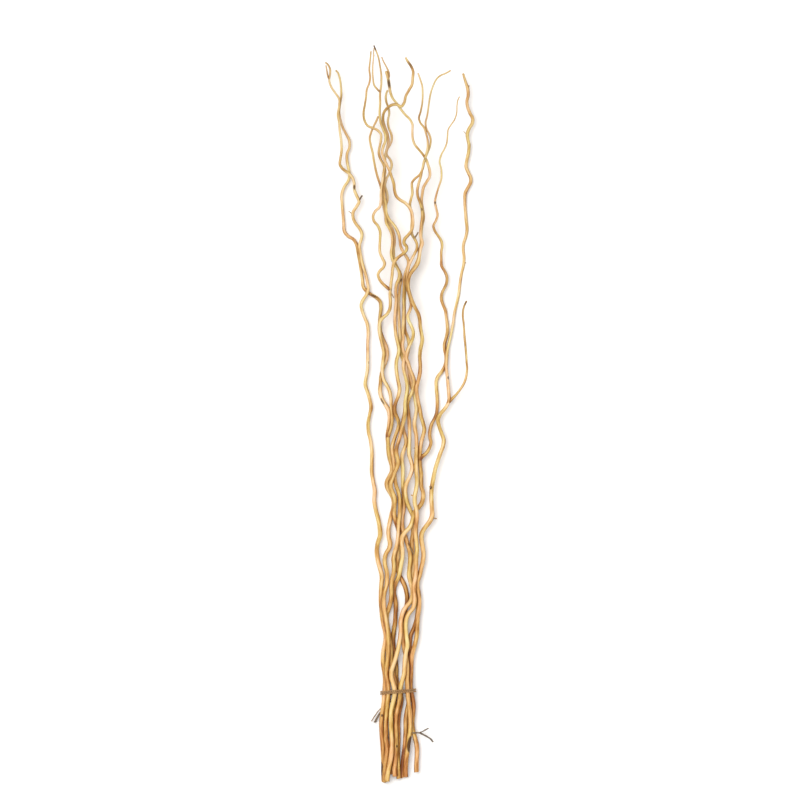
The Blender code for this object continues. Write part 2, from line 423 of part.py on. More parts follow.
class Path:
    """One stem or branch: its line in plan, its thickness and its wished height, in millimetres."""

    def __init__(self, name, node, bends, heights, radii, parent=None):
        self.name, self.node, self.parent = name, node, parent
        plan = smooth_line(bends, STEP)
        self.x, self.y = plan[:, 0], plan[:, 1]
        self.along = np.concatenate([[0.0], np.cumsum(np.hypot(np.diff(self.x), np.diff(self.y)))])
        slope_x, slope_y = np.gradient(self.x, self.along), np.gradient(self.y, self.along)
        heading = np.unwrap(np.arctan2(slope_x, slope_y))
        bend = np.abs(blur_matrix(self.along, 6.0) @ np.gradient(heading, self.along))
        swelling = 1.0 + SWELLING * np.minimum(bend * SWELLING_BEND, 1.0)
        self.radius = np.interp(self.y, *zip(*radii)) * (blur_matrix(self.along, 5.0) @ swelling)
        wanted = np.interp(self.y, *zip(*heights))
        lean = slope_x - blur_matrix(self.along, SLOPE_BLUR) @ slope_x
        loose = np.interp(self.y, [0, 450, 900, 1780], [0.05, 0.15, 0.5, 0.7])
        self.wish = blur_matrix(self.along, HEIGHT_BLUR) @ wanted + CORKSCREW_PITCH * loose * lean
        self.z = self.wish.copy()

    def at(self, x, y):
        """Index of the point of the line that lies nearest to (x, y) in plan."""
        return int(np.argmin((self.x - x) ** 2 + (self.y - y) ** 2))

    def at_height_of_tie(self, rise):
        """Index of the point of the line that lies nearest to the tie's plane, moved along by rise."""
        return int(np.argmin(np.abs(self.y - TIE_Y - TIE_TILT * self.x - rise)))

    def tied(self):
        """Which points of the line lie under or beside the twine."""
        return np.abs(self.y - TIE_Y - TIE_TILT * self.x) < TIED_REACH

    def floor(self):
        """Lowest height of the centre line: just clear of the surface, and of the twine where it is tied."""
        return self.radius + np.where(self.tied(), 2 * TWINE_RADIUS + TWINE_SEAT - FLAT_DEPTH, HOVER)

    def settle(self, start, middle, end):
        """Lowers the line about middle until a narrow flat of it lies on the surface."""
        lying = self.radius * math.cos(math.pi / 8) - FLAT_DEPTH
        reach = np.where(self.y < middle, middle - start, end - middle)
        away = np.clip((np.abs(self.y - middle) / reach - 0.3) / 0.7, 0.0, 1.0)
        self.z = lying + (self.z - lying) * away * away * (3 - 2 * away)


def contacts(paths):
    """Point pairs of different paths that need room in height, with the room and which lies higher."""
    starts = np.cumsum([0] + [len(p.x) for p in paths])
    upper, lower, room = [], [], []
    for a, first in enumerate(paths):
        for b in range(a + 1, len(paths)):
            second = paths[b]
            apart = (first.x[:, None] - second.x[None, :]) ** 2 + (first.y[:, None] - second.y[None, :]) ** 2
            reach = first.radius[:, None] + second.radius[None, :] + CLEARANCE
            near = apart < reach**2
            if second.parent == first.name:
                near &= (second.along > FORK_FREE)[None, :]
            i, j = np.nonzero(near)
            if not len(i):
                continue
            need = np.sqrt(reach[i, j] ** 2 - apart[i, j])
            run = np.concatenate([[0], np.cumsum(np.diff(first.along[i]) > 30.0)])
            lead = np.bincount(run, (first.wish[i] - second.wish[j]) * need)
            over = (lead >= 0)[run]
            upper.append(np.where(over, i + starts[a], j + starts[b]))
            lower.append(np.where(over, j + starts[b], i + starts[a]))
            room.append(need)
    return np.concatenate(upper), np.concatenate(lower), np.concatenate(room), starts


def give_room(paths):
    """Raises and lowers the paths, as little as it takes, until they clear the floor and each other."""
    upper, lower, room, starts = contacts(paths)
    z = np.concatenate([p.z for p in paths])
    floor = np.concatenate([p.floor() for p in paths])
    owners = [slice(starts[k], starts[k + 1]) for k in range(len(paths))]
    for width in PUSH_WIDTHS:
        bells = [np.exp(-0.5 * ((p.along[:, None] - p.along[None, :]) / width) ** 2) for p in paths]
        soften = [blur_matrix(p.along, 0.4 * width) for p in paths]
        for turn in range(PUSH_ROUNDS):
            lack = room - (z[upper] - z[lower])
            bad = lack > 0
            up, down = np.zeros_like(z), np.zeros_like(z)
            np.maximum.at(up, upper[bad], 0.55 * lack[bad])
            np.maximum.at(down, lower[bad], 0.55 * lack[bad])
            up = np.maximum(up, floor - z)
            for own, bell in zip(owners, bells):
                z[own] += (bell * up[own][None, :]).max(axis=1) - (bell * down[own][None, :]).max(axis=1)
            if turn % 10 == 9 and turn < PUSH_ROUNDS - 15:
                for own, soft in zip(owners, soften):
                    z[own] = soft @ z[own]
        z = np.maximum(z, floor)
    for own, path in zip(owners, paths):
        path.z = z[own]
    lack = room - (z[upper] - z[lower])
    print("least room short by", round(float(lack.max()), 2), "mm at", int((lack > 0.3).sum()), "pairs")


def keep(points, slack, longest, pins):
    """Indices of the points that keep a faceted line within slack of the smooth one, and the pins."""
    kept = {0, len(points) - 1, *pins}
    todo = list(zip(sorted(kept), sorted(kept)[1:]))
    while todo:
        a, b = todo.pop()
        if b - a < 2:
            continue
        chord = points[b, :3] - points[a, :3]
        span = np.linalg.norm(chord)
        inner = points[a + 1 : b]
        t = np.clip((inner[:, :3] - points[a, :3]) @ chord / max(span, 1e-9) ** 2, 0, 1)
        off = np.linalg.norm(inner[:, :3] - points[a, :3] - t[:, None] * chord, axis=1)
        between = points[a, 3] + t * (points[b, 3] - points[a, 3])
        off = np.maximum(off, 2.0 * np.abs(inner[:, 3] - between))
        worst = a + 1 + int(np.argmax(off))
        if off.max() > slack or span > longest:
            worst = worst if off.max() > slack else (a + b) // 2
            kept.add(worst)
            todo += [(a, worst), (worst, b)]
    return sorted(kept)


def to_world(points):
    """Millimetres over the photographed layout to metres about the middle of the bundle."""
    points = np.array(points, float)
    points[:, :2] -= MIDDLE
    return points * MM


def tube(name, points, radii, bevel, collection):
    """A closed tube of varying thickness along a line: a curve with a bevel, made a mesh."""
    curve = bpy.data.curves.new(name, "CURVE")
    curve.dimensions = "3D"
    curve.bevel_depth = 1.0
    curve.bevel_resolution = bevel
    curve.use_fill_caps = True
    spline = curve.splines.new("POLY")
    spline.points.add(len(points) - 1)
    world = to_world(points)
    spline.points.foreach_set("co", np.column_stack([world, np.ones(len(world))]).ravel())
    spline.points.foreach_set("radius", np.asarray(radii, float) * MM)
    guide = bpy.data.objects.new(name + "_guide", curve)
    collection.objects.link(guide)
    graph = bpy.context.evaluated_depsgraph_get()
    mesh = bpy.data.meshes.new_from_object(guide.evaluated_get(graph))
    bpy.data.objects.remove(guide)
    bpy.data.curves.remove(curve)
    body = bmesh.new()
    body.from_mesh(mesh)
    bmesh.ops.remove_doubles(body, verts=body.verts, dist=0.00001)
    bmesh.ops.recalc_face_normals(body, faces=body.faces)
    body.to_mesh(mesh)
    body.free()
    made = bpy.data.objects.new(name, mesh)
    collection.objects.link(made)
    mesh.shade_smooth()
    mesh.set_sharp_from_angle(angle=math.radians(60))
    return made


def wood(name, colour, roughness):
    """A plain dielectric material of one colour."""
    material = bpy.data.materials.new(name)
    material.use_nodes = True
    shader = material.node_tree.nodes["Principled BSDF"]
    shader.inputs["Base Color"].default_value = (*colour, 1.0)
    shader.inputs["Roughness"].default_value = roughness
    shader.inputs["Metallic"].default_value = 0.0
    material.diffuse_color = (*colour, 1.0)
    return material


def as_tool(tool):
    """Shows a helper solid as a wire and leaves it out of renders."""
    tool.display_type = "WIRE"
    tool.hide_render = True
    return tool


def join(stem, tools, cutters):
    """Fuses the tools, kept in a collection of their own, to the stem with one Boolean union."""
    group = bpy.data.collections.new(stem.name + "_grown")
    cutters.children.link(group)
    for tool in tools:
        group.objects.link(as_tool(tool))
        cutters.objects.unlink(tool)
    union = stem.modifiers.new("grown", "BOOLEAN")
    union.operation = "UNION"
    union.operand_type = "COLLECTION"
    union.collection = group


def cut_flat(stem, surface):
    """Cuts the stem flat where it rests on the surface."""
    cut = stem.modifiers.new("flat", "BOOLEAN")
    cut.operation = "DIFFERENCE"
    cut.object = surface


def surface_block(cutters):
    """A broad block whose top is the surface that the bundle rests on."""
    bpy.ops.mesh.primitive_cube_add(size=1.0, location=(0.0, 0.0, -0.01))
    block = bpy.context.object
    block.name = "surface_block"
    for vertex in block.data.vertices:
        vertex.co = (vertex.co.x * 1.0, vertex.co.y * 2.4, vertex.co.z * 0.02)
    for collection in list(block.users_collection):
        collection.objects.unlink(block)
    cutters.objects.link(block)
    return as_tool(block)


def tie_outline(paths):
    """The tight outline round the tied stems, as (x, z) from the knot's place once round and back to it."""
    stems = [path for path in paths if path.parent is None]
    centres = np.concatenate([np.column_stack([path.x, path.z])[path.tied()] for path in stems])
    radii = np.concatenate([path.radius[path.tied()] for path in stems])
    angle = np.linspace(-math.pi, math.pi, OUTLINE_ANGLES, endpoint=False)
    out = np.column_stack([np.cos(angle), np.sin(angle)])
    touched = np.argmax(out @ centres.T + radii, axis=1)
    ring = centres[touched] + (radii[touched] + TWINE_RADIUS + TWINE_SEAT)[:, None] * out
    split = int(np.nonzero((ring[:-1, 0] < KNOT_X) & (ring[1:, 0] >= KNOT_X) & (angle[:-1] < 0))[0][0])
    share = (KNOT_X - ring[split, 0]) / (ring[split + 1, 0] - ring[split, 0])
    knot = ring[split] + share * (ring[split + 1] - ring[split])
    return np.concatenate([[knot], ring[split + 1 :], ring[: split + 1], [knot]])


def tie_line(paths):
    """The twine's line: the outline drawn round more than once, side by side with a small pitch."""
    once = tie_outline(paths)
    line = np.concatenate([once] + [once[1:]] * (TWINE_TURNS - 1))
    along = np.concatenate([[0.0], np.cumsum(np.linalg.norm(np.diff(line, axis=0), axis=1))])
    y = TIE_Y + TIE_TILT * line[:, 0] + TWINE_PITCH * TWINE_TURNS * (along / along[-1] - 0.5)
    line = np.column_stack([line[:, 0], y, line[:, 1], np.full(len(line), TWINE_RADIUS)])
    return line[keep(line, TWINE_SLACK, LONGEST_FACET, [])]


def build_tie(paths, parts, cutters):
    """The twine, its knot under the bundle and the knot's two short tails."""
    line = tie_line(paths)
    tie = tube("twine_tie", line[:, :3], line[:, 3], TWIG_BEVEL, parts)
    knot_at = 0.5 * (line[0, :3] + line[-1, :3])
    bpy.ops.mesh.primitive_uv_sphere_add(segments=12, ring_count=8, radius=KNOT_RADIUS * MM)
    knot = bpy.context.object
    knot.name = "tie_knot"
    knot.location = to_world([knot_at])[0]
    knot.scale = (1.0, 1.45, 0.92)
    bpy.context.view_layer.update()
    knot.data.transform(knot.matrix_world)
    knot.matrix_world.identity()
    for collection in list(knot.users_collection):
        collection.objects.unlink(knot)
    cutters.objects.link(knot)
    tails = []
    for number, side in enumerate((-1.0, 1.0)):
        low = TAIL_RADIUS + 0.3
        ends = [
            knot_at + (side * 1.2, -2.0, 0.0),
            (knot_at[0] + side * 2.6, knot_at[1] - 9.0, 0.5 * (knot_at[2] + low)),
            (knot_at[0] + side * 4.4, knot_at[1] - 16.0, low),
            (knot_at[0] + side * 4.0, knot_at[1] - 23.0, low),
        ]
        tail = smooth_line(ends, 5.0)
        tails.append(tube(f"tie_tail_{number}", tail, np.full(len(tail), TAIL_RADIUS), TWIG_BEVEL, cutters))
    join(tie, [knot, *tails], cutters)
    return tie


def main():
    for existing in list(bpy.data.objects):
        bpy.data.objects.remove(existing)
    parts = bpy.data.collections.new("willow_stems")
    cutters = bpy.data.collections.new("cutters")
    for collection in (parts, cutters):
        bpy.context.scene.collection.children.link(collection)

    paths = []
    for name, r in ROUTES.items():
        paths.append(Path(name, name, r["bends"], r["heights"], r["radii"]))
    named = {path.name: path for path in paths}
    for name, r in BRANCHES.items():
        parent = named[r["parent"]]
        foot = parent.at(*r["bends"][0])
        branch = Path(name, parent.node, r["bends"], r["heights"], r["radii"], parent=parent.name)
        branch.x[0], branch.y[0] = parent.x[foot], parent.y[foot]
        named[name] = branch
        paths.append(branch)
    give_room(paths)
    for name, zone in REST_ZONES.items():
        named[name].settle(*zone)
    for path in paths:
        if path.parent:
            parent = named[path.parent]
            foot = parent.at(path.x[0], path.y[0])
            ease = np.clip(path.along / FORK_FREE, 0, 1)
            ease = ease * ease * (3 - 2 * ease)
            path.z = parent.z[foot] + (path.z - parent.z[foot]) * ease

    peeled = wood("peeled_willow", WOOD, 0.5)
    pale = wood("pale_willow", PALE_WOOD, 0.5)
    twine = wood("twine", TWINE, 0.9)
    surface = surface_block(cutters)
    grown = {name: [] for name in ROUTES}
    stems = {}
    for path in paths:
        line = np.column_stack([path.x, path.y, path.z, path.radius])
        pins = [] if path.parent else [path.at_height_of_tie(rise) for rise in TIE_PINS]
        kept = line[keep(line, CHORD_SLACK, LONGEST_FACET, pins)]
        if path.parent:
            grown[path.node].append(tube(path.name, kept[:, :3], kept[:, 3], TWIG_BEVEL, cutters))
        else:
            stems[path.name] = tube(path.name, kept[:, :3], kept[:, 3], STEM_BEVEL, parts)
    for name, spurs in SPURS.items():
        path = named[name]
        base = path.z[path.at(*spurs[0][2][0][:2])]
        for number, (foot, tip, points) in enumerate(spurs):
            if points[0][2] == 0:
                base = path.z[path.at(*points[0][:2])]
            line = np.array(points, float)
            line[:, 2] += base
            radii = np.linspace(foot, tip, len(line))
            grown[path.node].append(tube(f"{name}_spur_{number}", line, radii, TWIG_BEVEL, cutters))
    for name, stem in stems.items():
        stem.data.materials.append(pale if name == "stem_3" else peeled)
        if grown[name]:
            join(stem, grown[name], cutters)
        if name in REST_ZONES:
            cut_flat(stem, surface)
    tie = build_tie(paths, parts, cutters)
    tie.data.materials.append(twine)
    cut_flat(tie, surface)


main()
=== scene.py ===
"""Willow stems: the finished look of a bundle of peeled, curly willow, tied with twine and seen from above.

The bundle lies along +Y on a pale floor at z = 0. The lines of the stems follow the same rule as the solids:
bends given in plan, and heights that follow from a few chosen heights, the corkscrew turn of the wood and
the room that crossing stems need. Round, knobbly profiles with grain, bud scars, cut ends and bark are
carried along these lines, and twisted twine is wound round the tied stretch.
"""

import json
import logging
import math
from dataclasses import dataclass
from enum import Enum

import bpy
import numpy as np
from mathutils import Euler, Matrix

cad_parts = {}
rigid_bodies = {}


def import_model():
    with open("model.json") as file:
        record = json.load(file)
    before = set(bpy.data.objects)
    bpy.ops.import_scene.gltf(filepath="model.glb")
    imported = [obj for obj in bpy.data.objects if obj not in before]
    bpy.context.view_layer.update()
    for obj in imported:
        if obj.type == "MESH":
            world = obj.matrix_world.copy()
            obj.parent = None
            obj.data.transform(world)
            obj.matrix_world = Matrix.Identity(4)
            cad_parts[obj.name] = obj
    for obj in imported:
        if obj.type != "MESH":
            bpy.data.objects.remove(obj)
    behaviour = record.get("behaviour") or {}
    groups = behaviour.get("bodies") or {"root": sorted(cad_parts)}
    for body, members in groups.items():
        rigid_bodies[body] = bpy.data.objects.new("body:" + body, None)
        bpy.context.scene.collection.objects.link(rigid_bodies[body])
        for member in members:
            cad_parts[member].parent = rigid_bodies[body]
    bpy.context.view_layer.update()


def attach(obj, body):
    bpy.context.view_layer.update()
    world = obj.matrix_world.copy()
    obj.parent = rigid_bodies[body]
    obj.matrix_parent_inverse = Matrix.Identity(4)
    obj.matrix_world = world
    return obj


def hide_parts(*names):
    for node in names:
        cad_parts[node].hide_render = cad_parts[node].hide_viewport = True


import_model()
LOG = logging.getLogger("willow_stems")

Array = np.ndarray
Point2 = tuple[float, float]
Point3 = tuple[float, float, float]
Colour = tuple[float, float, float]

MM = 0.001
FULL_TURN = 2 * math.pi
ANY_PHASE = 6.28
LAYOUT_MIDDLE = np.array([5.0, 890.0])
LAYOUT_LENGTH = 1780.0


class Slot(Enum):
    """Material slots of the record."""

    PEELED = "peeled_willow"
    PALE = "pale_willow"
    TWINE = "twine"


@dataclass(frozen=True)
class Course:
    """Course of a stem or branch, in millimetres of the layout.

    It holds the bends in plan (x, y), the chosen heights (y, z) and the radii (y, r).
    """

    bends: tuple[Point2, ...]
    heights: tuple[Point2, ...]
    radii: tuple[Point2, ...]
    parent: str | None = None


@dataclass(frozen=True)
class Twig:
    """A short twig, stub or bud: foot radius, tip radius and points (x, y, rise over the stem's line)."""

    foot: float
    tip: float
    points: tuple[Point3, ...]


@dataclass(frozen=True)
class Mark:
    """A knot, scar or dark patch on a stem, near the layout point (x, y), on the side that faces facing."""

    x: float
    y: float
    facing: float
    length: float
    width: float
    dark: float
    lift: float = 0.0


@dataclass(frozen=True)
class LayRule:
    """Numbers of the rule by which the stems find their heights, in millimetres."""

    step: float = 4.0
    clearance: float = 0.9
    fork_free: float = 48.0
    corkscrew: float = 26.0
    height_blur: float = 30.0
    slope_blur: float = 110.0
    push_widths: tuple[float, ...] = (26.0, 16.0, 9.0)
    push_rounds: int = 70
    run_gap: float = 30.0
    push_share: float = 0.55
    softening: float = 0.4
    soften_every: int = 10
    unsoftened_rounds: int = 15
    hover: float = 0.3
    flat_depth: float = 0.35
    solid_sides: int = 8
    settled_share: float = 0.3
    swelling: float = 0.08
    swelling_bend: float = 45.0
    bend_blur: float = 6.0
    radius_blur: float = 5.0
    looseness: tuple[Point2, ...] = ((0, 0.05), (450, 0.15), (900, 0.5), (1780, 0.7))


@dataclass(frozen=True)
class TieSizes:
    """Sizes of the twine and its place, in millimetres."""

    y: float = 218.0
    tilt: float = 0.11
    radius: float = 2.1
    pitch: float = 4.6
    turns: int = 2
    seat: float = 0.45
    reach: float = 14.0
    knot_x: float = -22.0
    outline_angles: int = 120


RULE = LayRule()
TIE = TieSizes()
REST_ZONES: dict[str, Point3] = {"stem_2": (1160.0, 1250.0, 1340.0), "stem_9": (1170.0, 1255.0, 1350.0)}

# Bends of each stem in plan, from the cut end to the tip, and its chosen heights
COURSES: dict[str, Course] = {
    "stem_1": Course(
        bends=(
            (-33, 0), (-34, 25), (-34, 55), (-36, 85), (-38, 115), (-39, 145), (-37, 165), (-34, 185),
            (-32, 205), (-31, 225), (-30, 245), (-31, 262), (-34, 280), (-35, 298), (-34, 315),
            (-30, 335), (-28, 352), (-30, 365), (-34, 382), (-37, 400), (-39, 420), (-40, 445),
            (-39, 475), (-38, 500), (-43, 520), (-48, 540), (-50, 560), (-48, 577), (-42, 597),
            (-43, 615), (-47, 637), (-53, 660), (-56, 680), (-55, 705), (-59, 728), (-62, 748),
            (-62, 775), (-62, 800), (-65, 825), (-70, 848), (-71, 868), (-67, 890), (-64, 907),
            (-67, 925), (-73, 945), (-78, 962), (-76, 978), (-73, 995), (-72, 1020), (-72, 1060),
            (-71, 1092), (-73, 1108), (-80, 1125), (-86, 1142), (-88, 1153), (-84, 1165), (-76, 1177),
            (-71, 1190), (-73, 1210), (-79, 1235), (-85, 1255), (-90, 1280), (-92, 1298), (-88, 1312),
            (-86, 1326), (-91, 1338), (-101, 1351), (-107, 1364), (-107, 1379), (-99, 1392),
            (-93, 1404), (-98, 1417), (-104, 1432), (-105, 1450), (-109, 1462), (-120, 1474),
            (-132, 1483), (-139, 1493), (-138, 1508), (-135, 1528), (-136, 1550), (-139, 1572),
            (-141, 1595), (-144, 1615), (-141, 1635), (-141, 1652), (-150, 1666), (-160, 1681),
            (-165, 1697), (-163, 1713), (-163, 1724), (-168, 1735), (-174, 1740),
        ),
        heights=(
            (0, 15), (218, 16), (420, 15), (640, 13), (900, 13), (1187, 14), (1300, 14), (1400, 24),
            (1600, 34), (1740, 46),
        ),
        radii=(
            (0, 5.6), (218, 5.4), (600, 5.1), (900, 4.3), (1080, 3.8), (1300, 3.4), (1400, 3.5),
            (1600, 2.9), (1740, 2.1),
        ),
    ),
    "stem_2": Course(
        bends=(
            (-30, 2), (-30, 28), (-27, 55), (-25, 80), (-27, 105), (-28, 130), (-27, 155), (-25, 180),
            (-23, 205), (-22, 225), (-24, 245), (-26, 265), (-25, 285), (-23, 305), (-23, 330),
            (-23, 350), (-25, 370), (-28, 390), (-31, 410), (-33, 430), (-33, 448), (-30, 463),
            (-26, 478), (-25, 495), (-26, 510), (-30, 525), (-31, 540), (-27, 554), (-20, 566),
            (-18, 577), (-21, 592), (-22, 610), (-19, 627), (-15, 645), (-11, 660), (-9, 675),
            (-11, 688), (-18, 700), (-25, 713), (-26, 724), (-20, 738), (-14, 750), (-14, 765),
            (-19, 782), (-22, 800), (-23, 820), (-24, 840), (-21, 860), (-19, 880), (-21, 898),
            (-30, 914), (-38, 928), (-42, 943), (-41, 965), (-39, 985), (-34, 1003), (-28, 1018),
            (-25, 1035), (-27, 1052), (-34, 1070), (-41, 1090), (-43, 1108), (-42, 1128), (-40, 1148),
            (-42, 1162), (-51, 1172), (-63, 1179), (-74, 1187), (-82, 1197), (-85, 1215), (-88, 1238),
            (-92, 1262), (-96, 1283), (-99, 1300), (-107, 1313), (-120, 1321), (-128, 1331),
            (-130, 1350), (-132, 1375), (-134, 1400), (-134, 1425), (-128, 1441), (-120, 1453),
            (-116, 1466), (-118, 1482), (-122, 1502), (-122, 1520), (-116, 1536), (-117, 1553),
            (-125, 1569), (-133, 1585), (-138, 1602), (-141, 1620), (-139, 1640), (-136, 1660),
            (-137, 1685), (-140, 1704), (-145, 1717), (-149, 1721),
        ),
        heights=(
            (0, 21), (218, 21), (450, 22), (520, 16), (680, 18), (850, 17), (1000, 14), (1100, 8),
            (1180, 2), (1300, 2), (1400, 8), (1466, 12), (1600, 20), (1721, 32),
        ),
        radii=(
            (0, 5.6), (218, 5.4), (600, 5), (900, 4.5), (1150, 4.1), (1320, 3.8), (1500, 3.1),
            (1680, 2.4), (1721, 2),
        ),
    ),
    "stem_3": Course(
        bends=(
            (-25, 3), (-23, 22), (-19, 42), (-15, 65), (-14, 90), (-15, 120), (-16, 150), (-15, 172),
            (-11, 192), (-7, 210), (-7, 225), (-11, 240), (-15, 255), (-15, 266), (-11, 280),
            (-6, 295), (-1, 312), (3, 330), (6, 348), (8, 366), (8, 385), (10, 400), (15, 415),
            (23, 426), (32, 437), (36, 450), (36, 466), (32, 482), (28, 500), (29, 518), (31, 537),
            (30, 555), (25, 573), (20, 590), (14, 606), (11, 622), (12, 642), (15, 662), (15, 685),
            (14, 705), (13, 722), (13, 740), (13, 757), (11, 775), (12, 792), (17, 807), (21, 820),
            (20, 832), (16, 845), (13, 858), (13, 872), (16, 888), (18, 905), (19, 922), (23, 938),
            (25, 955), (24, 972), (21, 990), (20, 1008), (22, 1025), (26, 1042), (28, 1058),
            (25, 1075), (19, 1090), (17, 1110), (17, 1135), (17, 1160), (18, 1185), (21, 1205),
            (27, 1222), (36, 1239), (45, 1253), (51, 1268), (53, 1285), (57, 1302), (57, 1322),
            (59, 1345), (63, 1365), (61, 1385), (58, 1403), (60, 1422), (63, 1438), (71, 1452),
            (78, 1464), (78, 1478), (74, 1492), (69, 1506), (61, 1518), (51, 1530), (42, 1541),
            (37, 1555), (36, 1573), (36, 1590), (30, 1602), (19, 1613), (7, 1628), (-2, 1641),
            (-11, 1652), (-17, 1667), (-20, 1685), (-23, 1703), (-27, 1717),
        ),
        heights=(
            (0, 22), (218, 24), (430, 24), (560, 20), (606, 13), (700, 22), (800, 28), (850, 24),
            (920, 20), (1050, 26), (1200, 34), (1300, 40), (1390, 54), (1506, 86), (1640, 110),
            (1717, 126),
        ),
        radii=(
            (0, 5.6), (218, 5.4), (600, 5), (900, 4.3), (1200, 3.7), (1440, 3.3), (1560, 2.7),
            (1650, 2.8), (1690, 3.8), (1717, 3.5),
        ),
    ),
    "stem_4": Course(
        bends=(
            (-6, 14), (-7, 35), (-5, 60), (-4, 88), (-4, 115), (-4, 140), (-3, 160), (1, 180),
            (5, 198), (7, 215), (8, 232), (12, 247), (16, 262), (17, 280), (18, 298), (21, 315),
            (24, 332), (22, 350), (20, 368), (20, 385), (23, 399), (29, 410), (37, 420), (41, 434),
            (41, 450), (39, 466), (41, 483), (44, 500), (45, 520), (45, 540), (47, 560), (46, 580),
            (44, 600), (45, 620), (47, 640), (46, 658), (42, 675), (42, 692), (45, 708), (47, 725),
            (46, 745), (45, 765), (45, 785), (46, 805), (46, 825), (45, 842), (42, 857), (41, 870),
            (44, 886), (46, 902), (44, 920), (41, 935), (37, 948), (33, 963), (30, 978), (26, 992),
            (20, 1006), (14, 1020), (9, 1035), (7, 1050), (6, 1070), (5, 1090), (4, 1112), (3, 1138),
            (2, 1162), (4, 1182), (6, 1202), (9, 1217), (6, 1232), (0, 1244), (-6, 1257), (-9, 1272),
            (-9, 1290), (-7, 1305), (-8, 1320), (-12, 1335), (-18, 1348), (-25, 1360), (-28, 1375),
            (-28, 1395), (-24, 1411), (-26, 1427), (-30, 1443), (-27, 1458), (-21, 1470), (-16, 1483),
            (-14, 1494), (-18, 1506), (-26, 1517), (-25, 1529), (-19, 1540), (-14, 1552), (-15, 1567),
            (-21, 1582), (-23, 1600), (-20, 1617), (-22, 1631), (-27, 1645), (-28, 1660), (-24, 1672),
        ),
        heights=(
            (0, 20), (218, 22), (400, 22), (640, 28), (760, 30), (880, 22), (950, 14), (1010, 12),
            (1100, 18), (1200, 22), (1300, 24), (1400, 30), (1480, 46), (1560, 58), (1672, 74),
        ),
        radii=(
            (0, 5.6), (218, 5.4), (600, 5), (900, 4.4), (1200, 3.7), (1400, 3.1), (1672, 2.3),
        ),
    ),
    "stem_5": Course(
        bends=(
            (-13, 20), (-12, 50), (-11, 85), (-10, 120), (-10, 150), (-9, 178), (-7, 200), (-6, 218),
            (-6, 235), (-8, 250), (-12, 266), (-15, 283), (-16, 305), (-17, 330), (-20, 352),
            (-23, 372), (-26, 390), (-26, 405), (-21, 420), (-17, 435), (-15, 452), (-15, 472),
            (-13, 490), (-9, 507), (-9, 525), (-10, 540), (-7, 555), (-2, 570), (1, 588), (2, 605),
            (3, 625), (5, 645), (6, 665), (5, 685), (2, 702), (-3, 716), (-6, 730), (-7, 747),
            (-7, 763), (-9, 780), (-12, 797), (-12, 813), (-8, 828), (-3, 843), (2, 857), (3, 869),
            (-1, 881), (-6, 893), (-7, 907), (-3, 921), (2, 934), (5, 950), (2, 968), (-1, 985),
            (-3, 1003), (-2, 1020), (2, 1034), (4, 1047), (1, 1062), (-3, 1078), (-5, 1095),
            (-6, 1115), (-5, 1140), (-3, 1165), (-4, 1188), (-2, 1204), (3, 1216), (5, 1228),
            (1, 1241), (-6, 1252), (-12, 1264), (-15, 1280), (-13, 1296), (-12, 1312), (-15, 1328),
            (-21, 1341), (-27, 1352), (-29, 1370), (-33, 1390), (-37, 1410), (-38, 1428), (-42, 1446),
            (-48, 1463), (-53, 1483), (-57, 1503), (-60, 1522), (-65, 1542), (-67, 1558), (-63, 1573),
            (-57, 1587), (-51, 1599), (-47, 1609),
        ),
        heights=(
            (0, 9), (218, 9), (300, 12), (440, 14), (560, 20), (640, 26), (720, 28), (800, 22),
            (900, 28), (1050, 28), (1130, 26), (1220, 34), (1340, 40), (1430, 38), (1500, 42),
            (1609, 52),
        ),
        radii=(
            (0, 5.6), (218, 5.4), (600, 5), (900, 4.3), (1200, 3.7), (1400, 3.1), (1609, 2.4),
        ),
    ),
    "stem_6": Course(
        bends=(
            (3, 8), (2, 30), (1, 52), (1, 75), (2, 100), (2, 125), (2, 148), (4, 168), (8, 188),
            (9, 205), (5, 220), (0, 235), (-3, 252), (-3, 275), (-5, 298), (-9, 320), (-11, 343),
            (-9, 365), (-6, 385), (-5, 405), (-4, 423), (-5, 440), (-8, 454), (-8, 468), (-4, 482),
            (2, 495), (6, 510), (9, 527), (12, 545), (12, 562), (10, 578), (12, 593), (19, 605),
            (28, 614), (34, 625), (38, 640), (43, 655), (51, 664), (58, 674), (62, 688), (62, 700),
            (58, 713), (57, 728), (57, 745), (55, 765), (54, 785), (55, 803), (57, 820), (62, 838),
            (65, 852), (62, 868), (57, 885), (54, 902), (50, 920), (47, 938), (46, 953), (50, 970),
            (54, 988), (55, 1008), (54, 1030), (56, 1050), (60, 1069), (58, 1085), (55, 1102),
            (54, 1118), (50, 1133), (43, 1147), (37, 1160), (31, 1177), (26, 1195), (26, 1212),
            (31, 1228), (41, 1241), (50, 1255), (53, 1272), (56, 1290), (60, 1303), (56, 1320),
            (57, 1345), (60, 1367), (59, 1385), (54, 1403), (49, 1417), (48, 1430), (51, 1446),
            (56, 1463), (60, 1482), (64, 1500), (69, 1516), (73, 1533), (73, 1552), (69, 1569),
            (64, 1583), (56, 1593), (52, 1604), (56, 1621), (60, 1642), (61, 1664), (60, 1682),
            (55, 1699), (50, 1713),
        ),
        heights=(
            (0, 12), (100, 10), (218, 9), (400, 10), (500, 18), (600, 26), (640, 16), (690, 22),
            (785, 26), (930, 34), (1100, 44), (1250, 56), (1400, 66), (1500, 76), (1713, 102),
        ),
        radii=(
            (0, 5.6), (218, 5.4), (600, 5), (1000, 4.7), (1200, 4), (1400, 3.3), (1600, 2.3),
            (1713, 2.1),
        ),
    ),
    "stem_7": Course(
        bends=(
            (20, 12), (20, 32), (21, 52), (24, 75), (27, 97), (30, 120), (31, 145), (30, 168),
            (27, 190), (25, 210), (24, 228), (23, 248), (24, 268), (23, 288), (20, 306), (16, 325),
